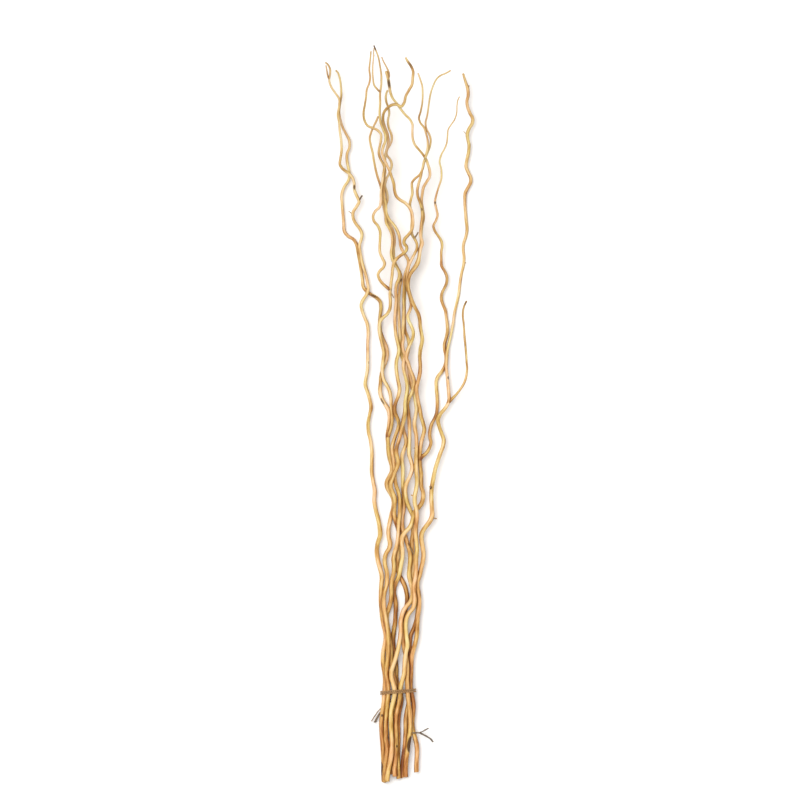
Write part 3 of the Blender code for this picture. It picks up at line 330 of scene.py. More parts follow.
            (13, 345), (13, 365), (15, 385), (17, 402), (20, 418), (23, 435), (23, 450), (20, 466),
            (15, 480), (8, 494), (2, 507), (-1, 523), (0, 543), (2, 562), (4, 582), (4, 600), (0, 617),
            (-5, 633), (-8, 650), (-7, 668), (-6, 685), (-11, 699), (-16, 711), (-16, 723), (-12, 735),
            (-8, 747), (-2, 759), (2, 771), (0, 785), (-3, 799), (-1, 813), (3, 826), (7, 840),
            (10, 853), (13, 866), (17, 881), (19, 898), (18, 915), (20, 930), (23, 946), (23, 962),
            (20, 978), (16, 993), (14, 1008), (16, 1021), (18, 1032), (14, 1044), (12, 1056),
            (14, 1070), (13, 1088), (14, 1108), (15, 1135), (15, 1165), (16, 1195), (17, 1220),
            (21, 1237), (26, 1250), (26, 1262), (20, 1273), (13, 1284), (8, 1295), (6, 1308),
            (4, 1322), (-1, 1335), (-10, 1349), (-20, 1361), (-26, 1373), (-28, 1392), (-31, 1412),
            (-33, 1432), (-33, 1450), (-31, 1466), (-30, 1480), (-34, 1494), (-41, 1507), (-45, 1521),
            (-43, 1537), (-40, 1552), (-40, 1566), (-48, 1576), (-61, 1582), (-72, 1587), (-79, 1598),
            (-82, 1616), (-79, 1637), (-76, 1656), (-74, 1675), (-68, 1690), (-66, 1703), (-68, 1722),
            (-66, 1745), (-64, 1766),
        ),
        heights=(
            (0, 20), (218, 21), (300, 18), (345, 12), (430, 10), (560, 9), (650, 10), (690, 16),
            (720, 34), (860, 34), (950, 32), (1020, 34), (1100, 34), (1200, 42), (1290, 46),
            (1370, 52), (1480, 60), (1600, 74), (1766, 98),
        ),
        radii=(
            (0, 5.6), (218, 5.4), (600, 5), (900, 4.3), (1200, 3.7), (1400, 3.2), (1620, 2.6),
            (1766, 2),
        ),
    ),
    "stem_8": Course(
        bends=(
            (12, 10), (12, 32), (14, 55), (17, 80), (19, 105), (20, 130), (20, 152), (23, 172),
            (27, 192), (29, 210), (28, 228), (27, 248), (28, 270), (29, 292), (30, 315), (30, 338),
            (32, 354), (37, 366), (42, 379), (46, 392), (48, 406), (49, 422), (48, 440), (46, 458),
            (42, 475), (37, 492), (36, 512), (37, 535), (36, 558), (35, 580), (37, 600), (39, 617),
            (40, 632), (37, 645), (31, 657), (26, 669), (22, 683), (19, 698), (19, 712), (23, 725),
            (29, 737), (34, 750), (36, 763), (33, 776), (29, 790), (28, 808), (29, 830), (29, 855),
            (28, 878), (26, 898), (24, 915), (28, 929), (34, 940), (39, 953), (41, 966), (38, 981),
            (32, 996), (27, 1011), (22, 1025), (23, 1040), (27, 1052), (33, 1064), (38, 1078),
            (38, 1090), (33, 1104), (27, 1116), (25, 1129), (30, 1141), (33, 1153), (31, 1168),
            (27, 1183), (23, 1200), (23, 1216), (25, 1233), (28, 1249), (34, 1263), (41, 1277),
            (47, 1290), (47, 1301), (42, 1313), (35, 1325), (34, 1342), (35, 1362), (33, 1381),
            (30, 1396), (33, 1411), (36, 1424), (35, 1438), (35, 1449), (42, 1459), (53, 1468),
            (60, 1481), (64, 1496), (68, 1511), (74, 1525), (79, 1540), (80, 1555), (76, 1568),
            (70, 1579), (68, 1592), (72, 1612), (76, 1640), (80, 1664), (87, 1685), (95, 1700),
            (104, 1708), (116, 1713), (128, 1720),
        ),
        heights=(
            (0, 9), (218, 9), (370, 10), (500, 10), (600, 14), (640, 14), (700, 24), (780, 28),
            (900, 30), (960, 34), (1020, 36), (1080, 46), (1150, 52), (1216, 46), (1300, 50),
            (1400, 56), (1500, 66), (1600, 84), (1720, 110),
        ),
        radii=(
            (0, 5.6), (218, 5.4), (600, 5), (900, 4.3), (1200, 3.7), (1400, 3), (1600, 2.1),
            (1720, 1.9),
        ),
    ),
    "stem_9": Course(
        bends=(
            (46, 24), (46, 45), (47, 65), (47, 85), (43, 105), (38, 125), (36, 145), (38, 165),
            (39, 185), (37, 203), (33, 220), (32, 240), (33, 262), (34, 285), (35, 303), (39, 321),
            (44, 340), (47, 360), (48, 380), (49, 400), (52, 420), (53, 440), (51, 458), (48, 472),
            (48, 484), (53, 498), (57, 515), (61, 532), (63, 550), (61, 568), (58, 585), (59, 602),
            (67, 616), (77, 629), (83, 642), (83, 665), (82, 690), (83, 712), (87, 735), (91, 755),
            (97, 775), (103, 793), (110, 812), (112, 827), (107, 843), (101, 860), (98, 876),
            (103, 889), (112, 900), (120, 911), (125, 925), (124, 942), (122, 965), (120, 985),
            (118, 1003), (119, 1025), (121, 1047), (126, 1068), (131, 1090), (135, 1112), (138, 1135),
            (143, 1157), (148, 1180), (151, 1205), (155, 1230), (160, 1252), (161, 1270), (159, 1288),
            (160, 1303), (165, 1318), (168, 1336), (166, 1360), (164, 1385), (163, 1408), (164, 1425),
            (171, 1439), (177, 1451), (177, 1462), (171, 1475), (166, 1489), (168, 1505), (172, 1524),
            (173, 1541), (170, 1556), (169, 1568), (174, 1582), (181, 1594), (182, 1604), (176, 1617),
            (170, 1632), (168, 1646), (171, 1661), (170, 1677), (165, 1693), (159, 1713),
        ),
        heights=(
            (0, 16), (218, 18), (450, 18), (560, 22), (640, 26), (800, 26), (880, 24), (1000, 16),
            (1100, 8), (1200, 2), (1310, 2), (1400, 8), (1500, 14), (1600, 22), (1713, 34),
        ),
        radii=(
            (0, 5.6), (218, 5.4), (600, 5.3), (800, 4.7), (960, 4.1), (1100, 3.3), (1300, 3.3),
            (1440, 3.8), (1680, 3.7), (1713, 2.8),
        ),
    ),
    "stem_2_side": Course(
        parent="stem_2",
        bends=(
            (-23, 835), (-18, 850), (-14, 868), (-13, 888), (-15, 908), (-16, 928), (-19, 945),
            (-26, 960), (-33, 972), (-36, 985), (-37, 1000), (-35, 1018), (-33, 1038), (-37, 1058),
            (-42, 1080), (-44, 1100), (-41, 1116), (-34, 1124), (-25, 1132), (-19, 1143), (-17, 1160),
            (-18, 1180), (-16, 1203), (-13, 1225), (-11, 1245), (-7, 1259), (3, 1270), (14, 1278),
            (22, 1287), (22, 1295), (16, 1303), (17, 1312), (25, 1322), (33, 1332), (37, 1347),
            (37, 1363), (34, 1379), (28, 1391), (18, 1401), (6, 1408), (-3, 1417), (-7, 1430),
            (-9, 1447), (-14, 1463), (-19, 1478), (-26, 1493), (-33, 1508), (-37, 1522), (-34, 1537),
            (-29, 1550), (-29, 1563), (-34, 1577), (-40, 1593), (-43, 1613), (-42, 1640), (-42, 1665),
            (-39, 1688), (-39, 1708), (-42, 1730), (-47, 1755), (-54, 1773), (-57, 1780),
        ),
        heights=(
            (835, 17), (900, 20), (980, 24), (1100, 30), (1180, 44), (1270, 58), (1340, 70),
            (1420, 82), (1520, 92), (1650, 108), (1780, 128),
        ),
        radii=(
            (835, 4.1), (1100, 3.9), (1400, 3.6), (1520, 3.1), (1650, 2.6), (1780, 1.8),
        ),
    ),
    "stem_2_fork": Course(
        parent="stem_2_side",
        bends=(
            (-18, 1190), (-26, 1197), (-35, 1205), (-44, 1217), (-47, 1228), (-42, 1237), (-34, 1245),
            (-31, 1254), (-36, 1266), (-42, 1280), (-43, 1297), (-42, 1315), (-42, 1332), (-48, 1346),
            (-57, 1357), (-59, 1369), (-53, 1381), (-43, 1391), (-40, 1405), (-40, 1422), (-38, 1440),
            (-36, 1455), (-34, 1472), (-31, 1488), (-30, 1504), (-29, 1519), (-25, 1534), (-22, 1550),
            (-24, 1566), (-30, 1583), (-35, 1602), (-33, 1618), (-25, 1629), (-13, 1637), (-2, 1638),
            (9, 1633), (16, 1642), (20, 1658), (28, 1673), (35, 1686), (37, 1703), (38, 1717),
            (32, 1732), (25, 1742), (20, 1751),
        ),
        heights=(
            (1190, 45), (1240, 42), (1330, 46), (1400, 54), (1480, 68), (1560, 80), (1638, 98),
            (1751, 120),
        ),
        radii=(
            (1190, 3.4), (1400, 3.1), (1500, 2.9), (1640, 3.1), (1740, 3.2), (1751, 2.2),
        ),
    ),
    "stem_2_loop": Course(
        parent="stem_2_side",
        bends=(
            (-42, 1668), (-49, 1675), (-56, 1684), (-59, 1700), (-60, 1720), (-59, 1740), (-57, 1757),
        ),
        heights=(
            (1668, 110), (1757, 116),
        ),
        radii=(
            (1668, 2), (1757, 1.6),
        ),
    ),
    "stem_6_side": Course(
        parent="stem_6",
        bends=(
            (54, 778), (58, 786), (66, 792), (73, 800), (78, 810), (81, 821), (78, 835), (79, 853),
            (83, 867), (89, 878), (94, 890), (96, 905), (96, 930), (94, 955), (94, 970), (98, 981),
            (106, 991), (113, 1002), (117, 1015), (117, 1032), (114, 1047), (114, 1060), (118, 1075),
            (121, 1092), (120, 1110), (118, 1125), (116, 1140), (110, 1155), (106, 1170), (108, 1184),
            (114, 1196), (119, 1209), (119, 1224), (114, 1236), (107, 1248), (106, 1265), (106, 1283),
            (108, 1297), (106, 1309), (98, 1322), (90, 1334), (87, 1345), (93, 1358), (97, 1371),
            (94, 1386), (91, 1402), (94, 1420), (100, 1440), (106, 1460), (106, 1480), (102, 1502),
            (106, 1517), (113, 1530), (119, 1545), (121, 1562), (123, 1579), (130, 1590), (138, 1602),
            (143, 1618), (144, 1636), (146, 1649), (150, 1657),
        ),
        heights=(
            (778, 25), (850, 18), (890, 12), (1015, 6), (1100, 8), (1225, 16), (1400, 38), (1657, 74),
        ),
        radii=(
            (778, 3.9), (960, 3.9), (1200, 3.4), (1320, 3.1), (1440, 2.4), (1560, 1.8), (1657, 1.3),
        ),
    ),
    "stem_9_side": Course(
        parent="stem_9",
        bends=(
            (124, 918), (132, 927), (141, 936), (151, 949), (159, 961), (165, 976), (168, 995),
            (167, 1020), (165, 1048), (162, 1080), (160, 1110), (158, 1130), (160, 1147), (167, 1163),
        ),
        heights=(
            (918, 22), (1000, 34), (1163, 60),
        ),
        radii=(
            (918, 3.1), (1000, 2.7), (1080, 2.8), (1163, 2.2),
        ),
    ),
    "stem_1_fork": Course(
        parent="stem_1",
        bends=(
            (-165, 1699), (-169, 1710), (-171, 1722), (-173, 1733),
        ),
        heights=(
            (1699, 42), (1733, 34),
        ),
        radii=(
            (1699, 2), (1733, 1.5),
        ),
    ),
    "stem_3_fork": Course(
        parent="stem_3",
        bends=(
            (-22, 1700), (-21, 1714), (-26, 1727), (-33, 1740), (-38, 1752),
        ),
        heights=(
            (1700, 122), (1752, 140),
        ),
        radii=(
            (1700, 2.2), (1752, 1.5),
        ),
    ),
}

TWIGS: dict[str, tuple[Twig, ...]] = {
    "stem_7": (
        Twig(1.9, 1.7, ((31, 119, 0), (40, 119, 2), (48, 119, 3), (56, 119, 3))),
        Twig(1.4, 1.6, ((53, 119, 3), (62, 123, 4), (69, 127, 4), (75, 130, 3))),
        Twig(2.0, 1.9, ((53, 119, 3), (62, 115, 2), (71, 110, 0), (80, 104, -2), (86, 97, -3))),
    ),
    "stem_1": (
        Twig(1.1, 1.3, ((-37, 180, 0), (-46, 172, -1), (-54, 161, -2), (-63, 147, -3))),
        Twig(2.1, 2.3, ((-38, 171, 0), (-45, 163, -3), (-50, 154, -5), (-55, 144, -6))),
        Twig(1.2, 0.9, ((-107, 1372, 0), (-113, 1377, 1), (-118, 1381, 2))),
        Twig(2.4, 1.6, ((-94, 1405, 0), (-90, 1412, 3), (-85, 1419, 5))),
    ),
    "stem_2": (
        Twig(1.5, 1.2, ((-27, 910, 0), (-34, 917, 4), (-40, 928, 6))),
    ),
    "stem_2_side": (
        Twig(1.5, 1.2, ((-17, 1185, 0), (-12, 1177, 3), (-9, 1171, 5))),
    ),
    "stem_3": (
        Twig(1.5, 1.2, ((25, 573, 0), (32, 564, 6), (39, 551, 7))),
    ),
    "stem_4": (
        Twig(2.2, 1.6, ((42, 692, 0), (37, 693, 2), (33, 694, 3))),
        Twig(1.8, 1.3, ((46, 808, 0), (42, 808, 3), (40, 808, 4))),
    ),
    "stem_8": (
        Twig(2.0, 1.6, ((40, 1314, 0), (45, 1321, 4), (50, 1330, 6))),
    ),
    "stem_9": (
        Twig(2.0, 1.3, ((83, 640, 0), (90, 638, 2), (95, 637, 3))),
        Twig(2.2, 1.8, ((83, 712, 0), (80, 713, 3), (78, 714, 5))),
        Twig(1.4, 1.0, ((160, 1256, 0), (164, 1256, 2), (166, 1256, 3))),
        Twig(1.1, 0.8, ((169, 1566, 0), (164, 1570, 1), (160, 1574, 2))),
        Twig(1.7, 1.3, ((170, 1676, 0), (172, 1681, 1), (173, 1685, 2))),
    ),
    "stem_2_loop": (Twig(1.5, 1.2, ((-57, 1755, 0), (-57.5, 1764, 3), (-56.5, 1774, 8))),),
}

# Paler (above 0) and browner (below 0) stretches of each stem, as (y, paleness) along the layout; many
# browner stretches are painted shade on stems that lie behind others, the rest is the wood's own colour
TONES_AND_SHADE: dict[str, tuple[Point2, ...]] = {
    "stem_1": (
        (0, -0.6), (30, -0.35), (70, 0.0), (200, 0.15), (420, 0.3), (640, 0.1), (900, 0.2), (1190, 0.3),
        (1500, 0.1),
    ),
    "stem_2": (
        (0, 0.0), (60, 0.0), (200, 0.0), (460, 0.1), (700, 0.3), (1000, 0.2), (1180, -0.35), (1260, 0.0),
        (1500, 0.1),
    ),
    "stem_3": (
        (0, 0.2), (120, 0.3), (300, 0.6), (410, 0.4), (480, 0.3), (560, -0.1), (800, 0.2), (880, -0.4),
        (930, 0.2), (1240, 0.1), (1400, 0.0), (1640, 0.2),
    ),
    "stem_4": (
        (0, -0.7), (60, -0.3), (210, 0.0), (300, 0.5), (460, 0.3), (700, 0.2), (1000, 0.3), (1280, 0.2),
    ),
    "stem_5": (
        (0, -0.7), (60, -0.4), (220, -0.2), (380, 0.3), (520, 0.1), (700, 0.3), (900, -0.3), (1000, 0.1),
        (1300, 0.0),
    ),
    "stem_6": (
        (0, -0.7), (60, -0.4), (220, -0.7), (400, -0.6), (520, 0.2), (620, 0.4), (700, -0.4), (780, 0.1),
        (900, -0.3), (1000, -0.2), (1240, -0.1), (1400, 0.0),
    ),
    "stem_7": (
        (0, -0.8), (60, -0.3), (210, -0.1), (320, -0.2), (420, -0.4), (520, 0.0), (700, 0.1), (820, -0.5),
        (900, 0.1), (1060, 0.2), (1400, 0.0),
    ),
    "stem_8": (
        (0, -0.9), (120, -0.7), (380, -0.6), (460, 0.0), (700, 0.3), (900, 0.2), (1100, 0.1), (1500, 0.0),
    ),
    "stem_9": (
        (0, -0.7), (60, -0.4), (130, -0.1), (220, -0.1), (440, 0.1), (620, 0.4), (760, 0.1), (900, 0.3),
        (1300, 0.1), (1500, -0.15), (1700, -0.3),
    ),
    "stem_2_side": ((835, 0.1), (1100, 0.1), (1400, 0.0), (1780, -0.1)),
    "stem_2_fork": ((1190, 0.1), (1500, 0.1), (1690, -0.1), (1720, -0.9), (1751, -0.1)),
    "stem_2_loop": ((1668, 0.0), (1757, 0.0)),
    "stem_6_side": ((778, -0.2), (880, -0.45), (950, 0.0), (1200, -0.2), (1657, -0.1)),
    "stem_9_side": ((918, -0.1), (1100, -0.5), (1163, -0.8)),
    "stem_1_fork": ((1699, 0.0), (1733, 0.0)),
    "stem_3_fork": ((1700, -0.2), (1752, -0.2)),
}

# Knots, scars and dark patches, each with the side it faces (0 is right, 90 up, 180 left)
MARKS: dict[str, tuple[Mark, ...]] = {
    "stem_1": (
        Mark(-37, 162, 90, 4, 3, 0.9, 0.5), Mark(-34, 32, 145, 18, 5.0, 1.3),
        Mark(-72, 1015, 60, 5, 2, 0.6, 0.4), Mark(-105, 1438, 90, 8, 3, 0.85),
        Mark(-107, 1372, 150, 5, 3, 0.5, 0.3),
    ),
    "stem_2": (
        Mark(-26, 108, 40, 9, 3, 0.7, 0.3), Mark(-56, 1175, 90, 12, 3, 0.8),
        Mark(-40, 918, 120, 10, 3, 0.7), Mark(-12, 688, 90, 4, 2, 0.5, 0.4),
        Mark(-33, 448, 100, 4, 2, 0.5, 0.3),
    ),
    "stem_3": (
        Mark(25, 575, 60, 7, 3, 0.7, 0.4), Mark(-15, 128, 60, 4, 2, 0.4, 0.3),
        Mark(-20, 1690, 90, 15, 5, 0.75, 0.5), Mark(18, 905, 90, 6, 3, 0.7),
    ),
    "stem_4": (
        Mark(-4, 86, 60, 4, 3, 0.95, 0.3), Mark(8, 1215, 90, 6, 3, 0.8),
        Mark(44, 640, 90, 5, 2, 0.4, 0.3), Mark(46, 770, 70, 4, 2, 0.4, 0.4),
        Mark(6, 1200, 60, 4, 3, 0.5, 0.3),
    ),
    "stem_5": (Mark(3, 868, 90, 7, 3, 0.6), Mark(-9, 510, 90, 4, 2, 0.4, 0.3)),
    "stem_6": (
        Mark(-4, 260, 60, 24, 6, 0.35), Mark(60, 1385, 90, 6, 3, 0.7, 0.3),
        Mark(66, 1508, 90, 4, 2, 0.7, 0.4), Mark(54, 1110, 40, 8, 3, 0.4),
    ),
    "stem_7": (
        Mark(27, 92, 45, 20, 7.0, 1.5), Mark(30, 119, 40, 5, 4, 0.6, 0.6), Mark(22, 700, 90, 5, 2, 0.4),
        Mark(0, 812, 90, 12, 4, 0.5),
    ),
    "stem_8": (
        Mark(40, 1316, 80, 6, 3, 0.6, 0.5), Mark(23, 700, 90, 4, 2, 0.4),
        Mark(28, 745, 90, 4, 2, 0.4, 0.3),
    ),
    "stem_9": (
        Mark(83, 712, 120, 5, 4, 0.9, 0.8), Mark(82, 640, 20, 7, 4, 0.6, 0.8),
        Mark(122, 978, 60, 5, 3, 0.8, 0.5), Mark(53, 455, 40, 12, 3, 0.6), Mark(44, 98, 150, 12, 4, 0.6),
        Mark(166, 1360, 60, 4, 2, 0.5, 0.4), Mark(173, 1541, 20, 4, 2, 0.6, 0.4),
        Mark(176, 1617, 160, 4, 2, 0.5, 0.4),
    ),
    "stem_2_side": (Mark(-16, 1190, 60, 5, 3, 0.6, 0.4), Mark(-55, 1776, 90, 8, 6, 0.9)),
    "stem_2_fork": (Mark(31, 1735, 90, 14, 6, 0.6), Mark(-44, 1217, 120, 4, 2, 0.4, 0.3)),
    "stem_6_side": (Mark(91, 1402, 90, 4, 3, 0.85, 0.4), Mark(114, 1240, 60, 4, 2, 0.5, 0.3)),
    "stem_9_side": (Mark(165, 1158, 90, 9, 5, 0.6),),
}

# How dark and rough the bark on each stem's twigs is, from bare wood (0) to full bark (1)
TWIG_BARK: dict[str, tuple[float, ...]] = {
    "stem_7": (1.0, 1.0, 1.0),
    "stem_1": (0.75, 0.95, 0.6, 0.95),
    "stem_2": (0.9,),
    "stem_2_side": (0.7,),
    "stem_2_loop": (0.0,),
    "stem_3": (0.75,),
    "stem_4": (0.15, 0.35),
    "stem_8": (0.8,),
    "stem_9": (0.6, 0.95, 0.5, 0.5, 0.6),
}


def run_length(points: Array) -> Array:
    """Distance of each point from the first one, along the line through them."""
    return np.concatenate([[0.0], np.cumsum(np.linalg.norm(np.diff(points, axis=0), axis=1))])


def eased(share: Array) -> Array:
    """Share that leaves 0 and reaches 1 smoothly: share^2 (3 - 2 share)."""
    return share * share * (3 - 2 * share)


def smooth_line(points: Array, step: float) -> Array:
    """Points along a smooth curve: cubic pieces whose tangents are the parabolic means of the chords.

    Args:
        points: (n, k) points that the curve goes through; the first two or three columns are its place.
        step: distance between the points that come back, in the units of the place.

    Returns:
        (m, k) points, evenly spaced along the chords.
    """
    points = np.asarray(points, float)
    knots = run_length(points[:, :3])
    slopes = np.diff(points, axis=0) / np.diff(knots)[:, None]
    tangents = np.empty_like(points)
    before, after = np.diff(knots)[:-1, None], np.diff(knots)[1:, None]
    tangents[1:-1] = (slopes[:-1] * after + slopes[1:] * before) / (before + after)
    tangents[0] = 2 * slopes[0] - tangents[1] if len(points) > 2 else slopes[0]
    tangents[-1] = 2 * slopes[-1] - tangents[-2] if len(points) > 2 else slopes[-1]
    at = np.linspace(0.0, knots[-1], max(3, int(round(knots[-1] / step)) + 1))
    piece = np.clip(np.searchsorted(knots, at, side="right") - 1, 0, len(points) - 2)
    width = (knots[piece + 1] - knots[piece])[:, None]
    t = (at[:, None] - knots[piece][:, None]) / width
    return (
        (2 * t**3 - 3 * t**2 + 1) * points[piece]
        + (t**3 - 2 * t**2 + t) * width * tangents[piece]
        + (3 * t**2 - 2 * t**3) * points[piece + 1]
        + (t**3 - t**2) * width * tangents[piece + 1]
    )


def bell(along: Array, width: float) -> Array:
    """Matrix exp(-(distance / width)^2 / 2) for each two points of a line."""
    return np.exp(-0.5 * ((along[:, None] - along[None, :]) / width) ** 2)


def bell_mean(along: Array, width: float) -> Array:
    """Matrix of a bell-shaped mean over the neighbours along a line.

    Args:
        along: (n,) distances along the line.
        width: spread of the bell.

    Returns:
        (n, n) weights whose rows add up to one.
    """
    weights = bell(along, width)
    return weights / weights.sum(axis=1, keepdims=True)


class Line:
    """The line of one stem or branch: its plan, its thickness and its height, in millimetres."""

    def __init__(self, name: str, course: Course) -> None:
        """Draws the plan through the bends and works out thickness and wished height.

        Args:
            name: name of the stem or branch.
            course: its course as listed.
        """
        self.name, self.course = name, course
        plan = smooth_line(np.array(course.bends, float), RULE.step)
        self.x, self.y = plan[:, 0], plan[:, 1]
        self.along = run_length(plan)
        slope_x, slope_y = np.gradient(self.x, self.along), np.gradient(self.y, self.along)
        heading = np.unwrap(np.arctan2(slope_x, slope_y))
        bend = np.abs(bell_mean(self.along, RULE.bend_blur) @ np.gradient(heading, self.along))
        swelling = bell_mean(self.along, RULE.radius_blur) @ (
            1.0 + RULE.swelling * np.minimum(bend * RULE.swelling_bend, 1.0)
        )
        self.radius = np.interp(self.y, *zip(*course.radii)) * swelling
        wanted = np.interp(self.y, *zip(*course.heights))
        lean = slope_x - bell_mean(self.along, RULE.slope_blur) @ slope_x
        loose = np.interp(self.y, *zip(*RULE.looseness))
        self.wish = bell_mean(self.along, RULE.height_blur) @ wanted + RULE.corkscrew * loose * lean
        self.z = self.wish.copy()

    def at(self, x: float, y: float) -> int:
        """Index of the point of the line that lies nearest to (x, y) in plan."""
        return int(np.argmin((self.x - x) ** 2 + (self.y - y) ** 2))

    def tied(self) -> Array:
        """Which points of the line lie under or beside the twine."""
        return np.abs(self.y - TIE.y - TIE.tilt * self.x) < TIE.reach

    def floor(self) -> Array:
        """Lowest height of the line: just clear of the surface, and of the twine where it is tied."""
        return self.radius + np.where(self.tied(), 2 * TIE.radius + TIE.seat - RULE.flat_depth, RULE.hover)

    def settle(self, start: float, middle: float, end: float) -> None:
        """Lowers the line about middle until a narrow flat of it lies on the surface."""
        lying = self.radius * math.cos(math.pi / RULE.solid_sides) - RULE.flat_depth
        reach = np.where(self.y < middle, middle - start, end - middle)
        away = (np.abs(self.y - middle) / reach - RULE.settled_share) / (1 - RULE.settled_share)
        self.z = lying + (self.z - lying) * eased(np.clip(away, 0.0, 1.0))

    def fine(self, step: float) -> Array:
        """Points (x, y, z, radius) every step along the line."""
        return smooth_line(np.column_stack([self.x, self.y, self.z, self.radius]), step)


class Bundle:
    """All lines of the bundle, with the heights that the rule gives them."""

    # Reach in millimetres of the painted shade that darkens the wood where other stems lie close.
    crevice_shade_reach = 3.2

    def __init__(self) -> None:
        """Draws every course, gives the lines room and eases the branches out of their stems."""
        self.lines: dict[str, Line] = {}
        for name, course in COURSES.items():
            line = Line(name, course)
            if course.parent:
                parent = self.lines[course.parent]
                foot = parent.at(*course.bends[0])
                line.x[0], line.y[0] = parent.x[foot], parent.y[foot]
            self.lines[name] = line
        self._give_room()
        for name, zone in REST_ZONES.items():
            self.lines[name].settle(*zone)
        for line in self.lines.values():
            if line.course.parent:
                parent = self.lines[line.course.parent]
                foot = parent.at(line.x[0], line.y[0])
                free = eased(np.clip(line.along / RULE.fork_free, 0, 1))
                line.z = parent.z[foot] + (line.z - parent.z[foot]) * free

    def stem_of(self, name: str) -> str:
        """Name of the stem that a branch grows from, through its parents."""
        parent = self.lines[name].course.parent
        return self.stem_of(parent) if parent else name

    def nearness(self, points: Array, own: Line) -> Array:
        """How near the other lines' wood comes to points, in slices across the bundle.

        Nearness = exp(-gap / the reach of the painted shade) to the nearest, where a line's wood at the
        point's own y is a circle. It sets where shade between the stems is painted into the wood's colour.

        Args:
            points: (..., 3) points in millimetres of the layout.
            own: the line that the points belong to, which is left out.

        Returns:
            1 where the wood touches, fading to 0, with the shape of the points without their last axis.
        """
        near = np.zeros(points.shape[:-1])
        x, y, z = np.moveaxis(points, -1, 0)
        for line in self.lines.values():
            if line is own:
                continue
            rising = np.maximum.accumulate(line.y)
            gap = np.hypot(x - np.interp(y, rising, line.x), z - np.interp(y, rising, line.z))
            gap = np.maximum(gap - np.interp(y, rising, line.radius), 0.0)
            beside = (y > rising[0]) & (y < rising[-1])
            near = np.maximum(near, np.where(beside, np.exp(-gap / self.crevice_shade_reach), 0.0))
        return near

    def grown_on(self, stem: str) -> list[Line]:
        """The stem's own line and the lines of its branches, in the order of the courses."""
        return [line for name, line in self.lines.items() if self.stem_of(name) == stem]

    def _contacts(self) -> tuple[Array, Array, Array, Array]:
        """Finds the point pairs of two lines that are too near each other in plan to lie at one height.

        Returns:
            Indices of the upper points, of the lower points, the room each pair needs in height, and
            where each line's points start.
        """
        lines = list(self.lines.values())
        starts = np.cumsum([0] + [len(line.x) for line in lines])
        upper, lower, room = [], [], []
        for a, first in enumerate(lines):
            for b in range(a + 1, len(lines)):
                second = lines[b]
                across = (first.x[:, None] - second.x[None, :]) ** 2
                apart = across + (first.y[:, None] - second.y[None, :]) ** 2
                reach = first.radius[:, None] + second.radius[None, :] + RULE.clearance
                near = apart < reach**2
                if second.course.parent == first.name:
                    near &= (second.along > RULE.fork_free)[None, :]
                i, j = np.nonzero(near)
                if not len(i):
                    continue
                need = np.sqrt(reach[i, j] ** 2 - apart[i, j])
                run = np.concatenate([[0], np.cumsum(np.diff(first.along[i]) > RULE.run_gap)])
                lead = np.bincount(run, (first.wish[i] - second.wish[j]) * need)
                over = (lead >= 0)[run]
                upper.append(np.where(over, i + starts[a], j + starts[b]))
                lower.append(np.where(over, j + starts[b], i + starts[a]))
                room.append(need)
        return np.concatenate(upper), np.concatenate(lower), np.concatenate(room), starts

    def _give_room(self) -> None:
        """Raises and lowers the lines in bell-shaped pushes until they clear the floor and each other."""
        lines = list(self.lines.values())
        upper, lower, room, starts = self._contacts()
        z = np.concatenate([line.z for line in lines])
        floor = np.concatenate([line.floor() for line in lines])
        owners = [slice(starts[k], starts[k + 1]) for k in range(len(lines))]
        for width in RULE.push_widths:
            bells = [bell(line.along, width) for line in lines]
            soften = [bell_mean(line.along, RULE.softening * width) for line in lines]
            for turn in range(RULE.push_rounds):
                lack = room - (z[upper] - z[lower])
                bad = lack > 0
                up, down = np.zeros_like(z), np.zeros_like(z)
                np.maximum.at(up, upper[bad], RULE.push_share * lack[bad])
                np.maximum.at(down, lower[bad], RULE.push_share * lack[bad])
                up = np.maximum(up, floor - z)
                for own, push in zip(owners, bells):
                    z[own] += (push * up[own][None, :]).max(axis=1) - (push * down[own][None, :]).max(axis=1)
                last_of_run = (turn + 1) % RULE.soften_every == 0
                if last_of_run and turn < RULE.push_rounds - RULE.unsoftened_rounds:
                    for own, soft in zip(owners, soften):
                        z[own] = soft @ z[own]
            z = np.maximum(z, floor)
        for own, line in zip(owners, lines):
            line.z = z[own]


@dataclass
class Skin:
    """A closed tube: points in millimetres of the layout, faces, and what the finishes read at each point."""

    points: Array
    quads: Array
    triangles: Array
    quad_uv: Array
    triangle_uv: Array
    grain: Array
    values: dict[str, Array]


def unit(vectors: Array) -> Array:
    """Vectors scaled to length one."""
    return vectors / np.linalg.norm(vectors, axis=-1, keepdims=True)


@dataclass(frozen=True)
class EndShape:
    """The rings that close a tube: share of the radius and shift along the line, in radii, rim inwards."""

    shares: tuple[float, ...]
    shifts: tuple[float, ...]
    slant: float = 0.0
    slant_turn: float = 0.0


SAWN_END = EndShape((0.985, 0.93, 0.7, 0.4, 0.15), (0.05, 0.09, 0.085, 0.07, 0.06))
WORN_END = EndShape((0.97, 0.86, 0.6, 0.3), (0.12, 0.32, 0.5, 0.58))


